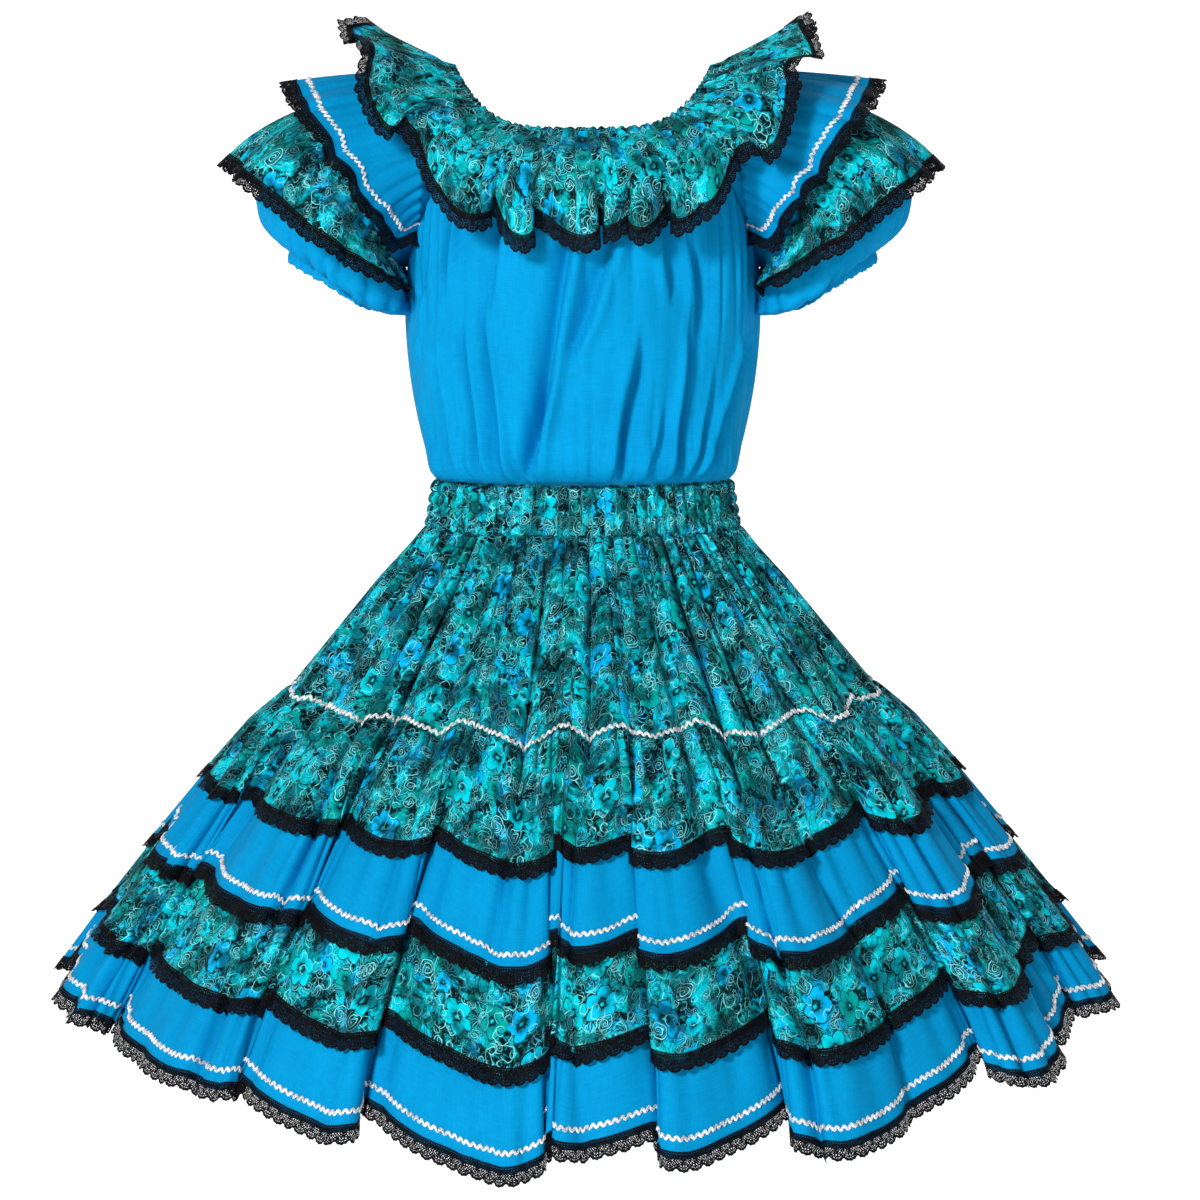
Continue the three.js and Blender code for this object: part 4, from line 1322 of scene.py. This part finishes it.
# %% Edge
class Edge:
    """The lower edge of a panel: place(s, d, lift) gives points s along it, d past it and lift off its face."""

    FAN = np.arange(-30, 17, 1.0) * MM  # the distances from the edge at which it keeps a row of points

    def __init__(self, points, ring):
        if ring:
            points = np.concatenate([points, points[:, :1]], 1)
        square = normals_of(points, False)
        steps = lengths(points, 0)
        above = np.concatenate([np.cumsum(steps[::-1], 0)[::-1], np.zeros((1, points.shape[1]))])
        last = unit(points[-1] - points[-3])
        rows, outs = [], []
        for d in self.FAN:
            if d >= 0:
                rows.append(points[-1] + last * d)
                outs.append(square[-1])
                continue
            k = np.clip((above > -d).sum(0) - 1, 0, len(points) - 2)
            column = np.arange(points.shape[1])
            share = np.clip((above[k, column] + d) / steps[k, column], 0, 1)[:, None]
            rows.append(points[k, column] * (1 - share) + points[k + 1, column] * share)
            outs.append(square[k, column])
        self.rows, self.outs = np.array(rows), np.array(outs)
        self.along = np.concatenate([[0], np.cumsum(lengths(points[-1:], 1)[0])])
        self.length = self.along[-1]

    def place(self, s, d, lift):
        """Points between the four nearest points of the two grids, mixed by their distances."""
        column = np.interp(s, self.along, np.arange(len(self.along)))
        row = np.interp(d, self.FAN, np.arange(len(self.FAN)))
        c0 = np.minimum(column.astype(int), len(self.along) - 2)
        r0 = np.minimum(row.astype(int), len(self.FAN) - 2)
        fc, fr = (column - c0)[:, None], (row - r0)[:, None]

        def at(grid):
            upper = grid[r0, c0] * (1 - fc) + grid[r0, c0 + 1] * fc
            lower = grid[r0 + 1, c0] * (1 - fc) + grid[r0 + 1, c0 + 1] * fc
            return upper * (1 - fr) + lower * fr

        return at(self.rows) + at(self.outs) * np.asarray(lift)[..., None]


EDGED = {  # panel: ring or not, lace, how far the braid's middle lies above the edge (mm)
    "neck_ruffle": (True, True, None),
    "skirt_tier_1": (True, False, 3.5),
    "skirt_tier_2": (True, True, None),
    "skirt_tier_3": (True, True, 16),
    "skirt_tier_4": (True, True, None),
    "skirt_tier_5": (True, True, 16),
    "sleeve_left_upper_flounce": (False, True, 16),
    "sleeve_left_lower_flounce": (False, True, None),
    "sleeve_right_upper_flounce": (False, True, 16),
    "sleeve_right_lower_flounce": (False, True, None),
}
edges = {name: Edge(walls[name], ring) for name, (ring, _, _) in EDGED.items()}
print("edge lengths:", {n: round(e.length, 2) for n, e in edges.items()})

# %% [markdown]
# ## Lace
# One scallop of the lace is drawn flat, in millimetres, as ribbons along lines: a corded heading, a net, a
# small flower, and a scalloped rim with eyelets. It is then repeated along the edge as one joined mesh. A
# thin net lies behind the ribbons.

# %% One scallop
PITCH = 11.0
LACE_TOP, LACE_RIM = -5.0, 9.6
RIM_RISE = 3.4
HEADING_DEEP, RIM_DEEP = 2.0, 2.6
MESH_WIDE = 2.2
NET_STEPS = 6


def ribbon(line, wide):
    """A flat ribbon along a line of points: its points and faces."""
    line = np.asarray(line, float)
    way = np.gradient(line, axis=0)
    way = way / np.maximum(np.linalg.norm(way, axis=1, keepdims=True), 1e-9)
    side = np.stack([-way[:, 1], way[:, 0]], 1) * (np.broadcast_to(wide, len(line)) / 2)[:, None]
    points = np.concatenate([line + side, line - side])
    k = np.arange(len(line) - 1)
    n = len(line)
    return points, np.stack([k, k + n, k + n + 1, k + 1], 1)


def rim_line(s, down):
    """The scallop's rim: a half sine, `down` mm above its lowest line."""
    return LACE_RIM - RIM_RISE + RIM_RISE * np.abs(np.sin(np.pi * s / PITCH)) ** 0.8 - down


def scallop():
    """Points and faces of one repeat, in (along, past the edge)."""
    s = np.linspace(0, PITCH, 9)
    below = LACE_TOP + HEADING_DEEP
    flat = [  # the two cords of the heading, then the rim and the line above it
        ribbon(np.stack([s[::4], np.full(3, LACE_TOP)], 1), 1.3),
        ribbon(np.stack([s[::4], np.full(3, below)], 1), 0.6),
        ribbon(np.stack([s, rim_line(s, 0.0)], 1), 2.0 + 0.6 * np.cos(8 * np.pi * s / PITCH)),
        ribbon(np.stack([s, rim_line(s, RIM_DEEP)], 1), 1.0),
    ]
    # Short bars part the eyelets of the rim, and slanting threads cross between the heading and the rim.
    for at in np.linspace(0.7, PITCH - 0.7, 6):
        flat.append(ribbon([(at, rim_line(at, RIM_DEEP)), (at + 0.1, rim_line(at, 0.3))], 0.7))
    for start in np.arange(0, PITCH, MESH_WIDE):
        after = start + MESH_WIDE
        flat.append(ribbon([(start, below), (after, rim_line(after, 3.0))], 0.6))
        flat.append(ribbon([(after, below), (start, rim_line(start, 3.0))], 0.6))
    # A flower of six petals round a small ring.
    middle = np.array([PITCH / 2, 2.4])
    ring = np.linspace(0, 2 * np.pi, 7)
    flat.append(ribbon(middle + 0.9 * np.stack([np.cos(ring), np.sin(ring)], 1), 0.7))
    for petal in np.arange(6) * np.pi / 3:
        tip = middle + 2.7 * np.array([np.cos(petal), np.sin(petal)])
        root = middle + 1.1 * np.array([np.cos(petal), np.sin(petal)])
        flat.append(ribbon([root, (root + tip) / 2, tip], [0.5, 1.5, 0.6]))
    sizes = np.cumsum([0] + [len(p) for p, _ in flat])
    return np.concatenate([p for p, _ in flat]), np.concatenate([f + n for (_, f), n in zip(flat, sizes)])


SCALLOP_POINTS, SCALLOP_FACES = scallop()
print("one scallop:", len(SCALLOP_POINTS), "points,", len(SCALLOP_FACES), "faces")

# %% Lace along an edge
THREAD_LIFT = 0.9 * MM
NET_LIFT = 0.45 * MM
FLUTTER = 0.11
FLUTTER_WAVES = 0.019, 0.043


def flutter(s, d, seed):
    """The free lace ripples off the cloth's face, more the further it hangs."""
    free = np.clip(d / MM, 0, None) * FLUTTER
    rng = np.random.default_rng(seed)
    short, long = (2 * np.pi * s / wave for wave in FLUTTER_WAVES)
    return free * MM * (np.sin(short + 6 * rng.random()) * 0.6 + np.sin(long) * 0.5)


def trim_object(name, points, faces, u, v, look, node):
    """A strip of trim whose flat coordinates are u along it and v across it."""
    piece = put_mesh(name, points, faces, smooth=False)
    corners = np.asarray(faces).reshape(-1)
    write_uv(piece, u[corners], v[corners])
    piece.data.materials.append(look)
    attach(piece, "root")
    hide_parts(node)
    return piece


def lace_on(panel, seed):
    """Lace along a panel's edge: joined scallops, and the net behind them."""
    edge = edges[panel]
    node = panel + "_lace"
    count = int(round(edge.length / (PITCH * MM)))
    pitch = edge.length / count
    k = np.repeat(np.arange(count), len(SCALLOP_POINTS))
    s = (k + np.tile(SCALLOP_POINTS[:, 0], count) / PITCH) * pitch
    s = np.clip(s, 0, edge.length)
    d = np.tile(SCALLOP_POINTS[:, 1], count) * MM
    points = edge.place(s, d, THREAD_LIFT + flutter(s, d, seed))
    faces = (SCALLOP_FACES[None] + (np.arange(count) * len(SCALLOP_POINTS))[:, None, None]).reshape(-1, 4)
    threads = trim_object(node + "_threads", points, faces, s, d, THREAD, node)
    along = np.linspace(0, edge.length, count * NET_STEPS + 1)
    down = np.linspace(0, 1, 3)
    low = rim_line((along / pitch % 1) * PITCH, 0.2) * MM
    s = np.broadcast_to(along, (len(down), len(along))).reshape(-1)
    d = (LACE_TOP * MM + down[:, None] * (low - LACE_TOP * MM)).reshape(-1)
    points = edge.place(s, d, NET_LIFT + flutter(s, d, seed))
    faces = grid_faces(len(down), len(along), False).reshape(-1, 4)
    net = trim_object(node + "_net", points, faces, s, d, NET, node)
    return threads, net


LACE_SEED = 200
laces = {}
for number, (panel, (_, has_lace, _)) in enumerate(EDGED.items()):
    if has_lace:
        laces[panel] = lace_on(panel, LACE_SEED + number)
print("laces:", {n: len(t.data.polygons) for n, (t, _) in laces.items()})

# %% [markdown]
# ## Rick-rack
# Rick-rack is a flat braid woven in a zigzag with round corners. Its middle line swings as a sine, and its
# section is a low crown, so that the metal thread catches the light in short flashes.

# %% Rick-rack braid
WAVE = 6.0 * MM
SWING = 1.6 * MM
BRAID_WIDE = 2.5 * MM
BRAID_LIFT = 0.5 * MM
STEPS_PER_WAVE = 8
CROWN = [(-1, 0.0), (-0.4, 0.9), (0.4, 0.9), (1, 0.0)]  # across the braid (half widths), lift (mm)


def braid_on(panel, above):
    """A braid along a panel's edge: middle = swing sin(phase), with its sides set off square to that line."""
    edge = edges[panel]
    waves = int(round(edge.length / WAVE))
    s = np.linspace(0, edge.length, waves * STEPS_PER_WAVE + 1)
    phase = 2 * np.pi * waves * s / edge.length
    middle = -above * MM + SWING * np.sin(phase)
    lean = SWING * np.cos(phase) * 2 * np.pi * waves / edge.length
    long = np.sqrt(1 + lean**2)
    side_s, side_d = -lean / long, 1 / long
    rows = []
    for across, lift in CROWN:
        half = across * BRAID_WIDE / 2
        where = np.clip(s + side_s * half, 0, edge.length)
        rows.append(edge.place(where, middle + side_d * half, np.full_like(s, BRAID_LIFT + lift * MM)))
    points = np.array(rows)
    faces = grid_faces(len(rows), len(s), False).reshape(-1, 4)
    u = np.broadcast_to(s, points.shape[:2]).reshape(-1)
    v = np.repeat(np.linspace(0, BRAID_WIDE, len(rows)), len(s))
    node = panel + "_braid"
    return trim_object(node + "_zigzag", points.reshape(-1, 3), faces, u, v, SILVER, node)


braids = {name: braid_on(name, above) for name, (_, _, above) in EDGED.items() if above is not None}
print("braids:", list(braids))

# %% [markdown]
# ## What each piece was cut from
# Every cloth panel's size before it was gathered and hung is measured on its own grid and printed. The width
# is the developed length of its fullest row, and the length is the way down its cloth.


# %% Sheets
LEAST_FULL = 0.3  # a cut is at least this share of the rectangle round it


def declare(panel, ring):
    """Prints a panel's flat size and area as a sheet, measured on its own grid."""
    points = walls[panel]
    closed = np.concatenate([points, points[:, :1]], 1) if ring else points
    around = lengths(closed, 1).sum(1)
    down = lengths(points, 0).sum(0)
    wide, long = float(around.max()), float(down.max())
    rows = (around[1:] + around[:-1]) / 2
    area = float((rows * lengths(points, 0).mean(1)).sum())
    area = min(max(area, LEAST_FULL * wide * long), wide * long)
    bpy.data.objects[panel + "_cloth"]
    print(panel, "cut", round(wide, 2), "x", round(long, 3), "m, area", round(area, 3))


RINGS = {name for name, (ring, _, _) in EDGED.items() if ring} | {"waistband", "sleeve_left", "sleeve_right"}
for panel in walls:
    on_it = list(laces.get(panel, ())) + ([braids[panel]] if panel in braids else [])
    declare(panel, panel in RINGS)

# %% Triangles
graph = bpy.context.evaluated_depsgraph_get()
triangles = {}
for piece in bpy.data.objects:
    if piece.type == "MESH" and "cloth" in piece.data.uv_layers:
        shape = piece.evaluated_get(graph).to_mesh()
        shape.calc_loop_triangles()
        triangles[piece.name] = len(shape.loop_triangles)
print("triangles:", triangles)
print("triangles in all:", sum(triangles.values()), "largest:", max(triangles.values()))
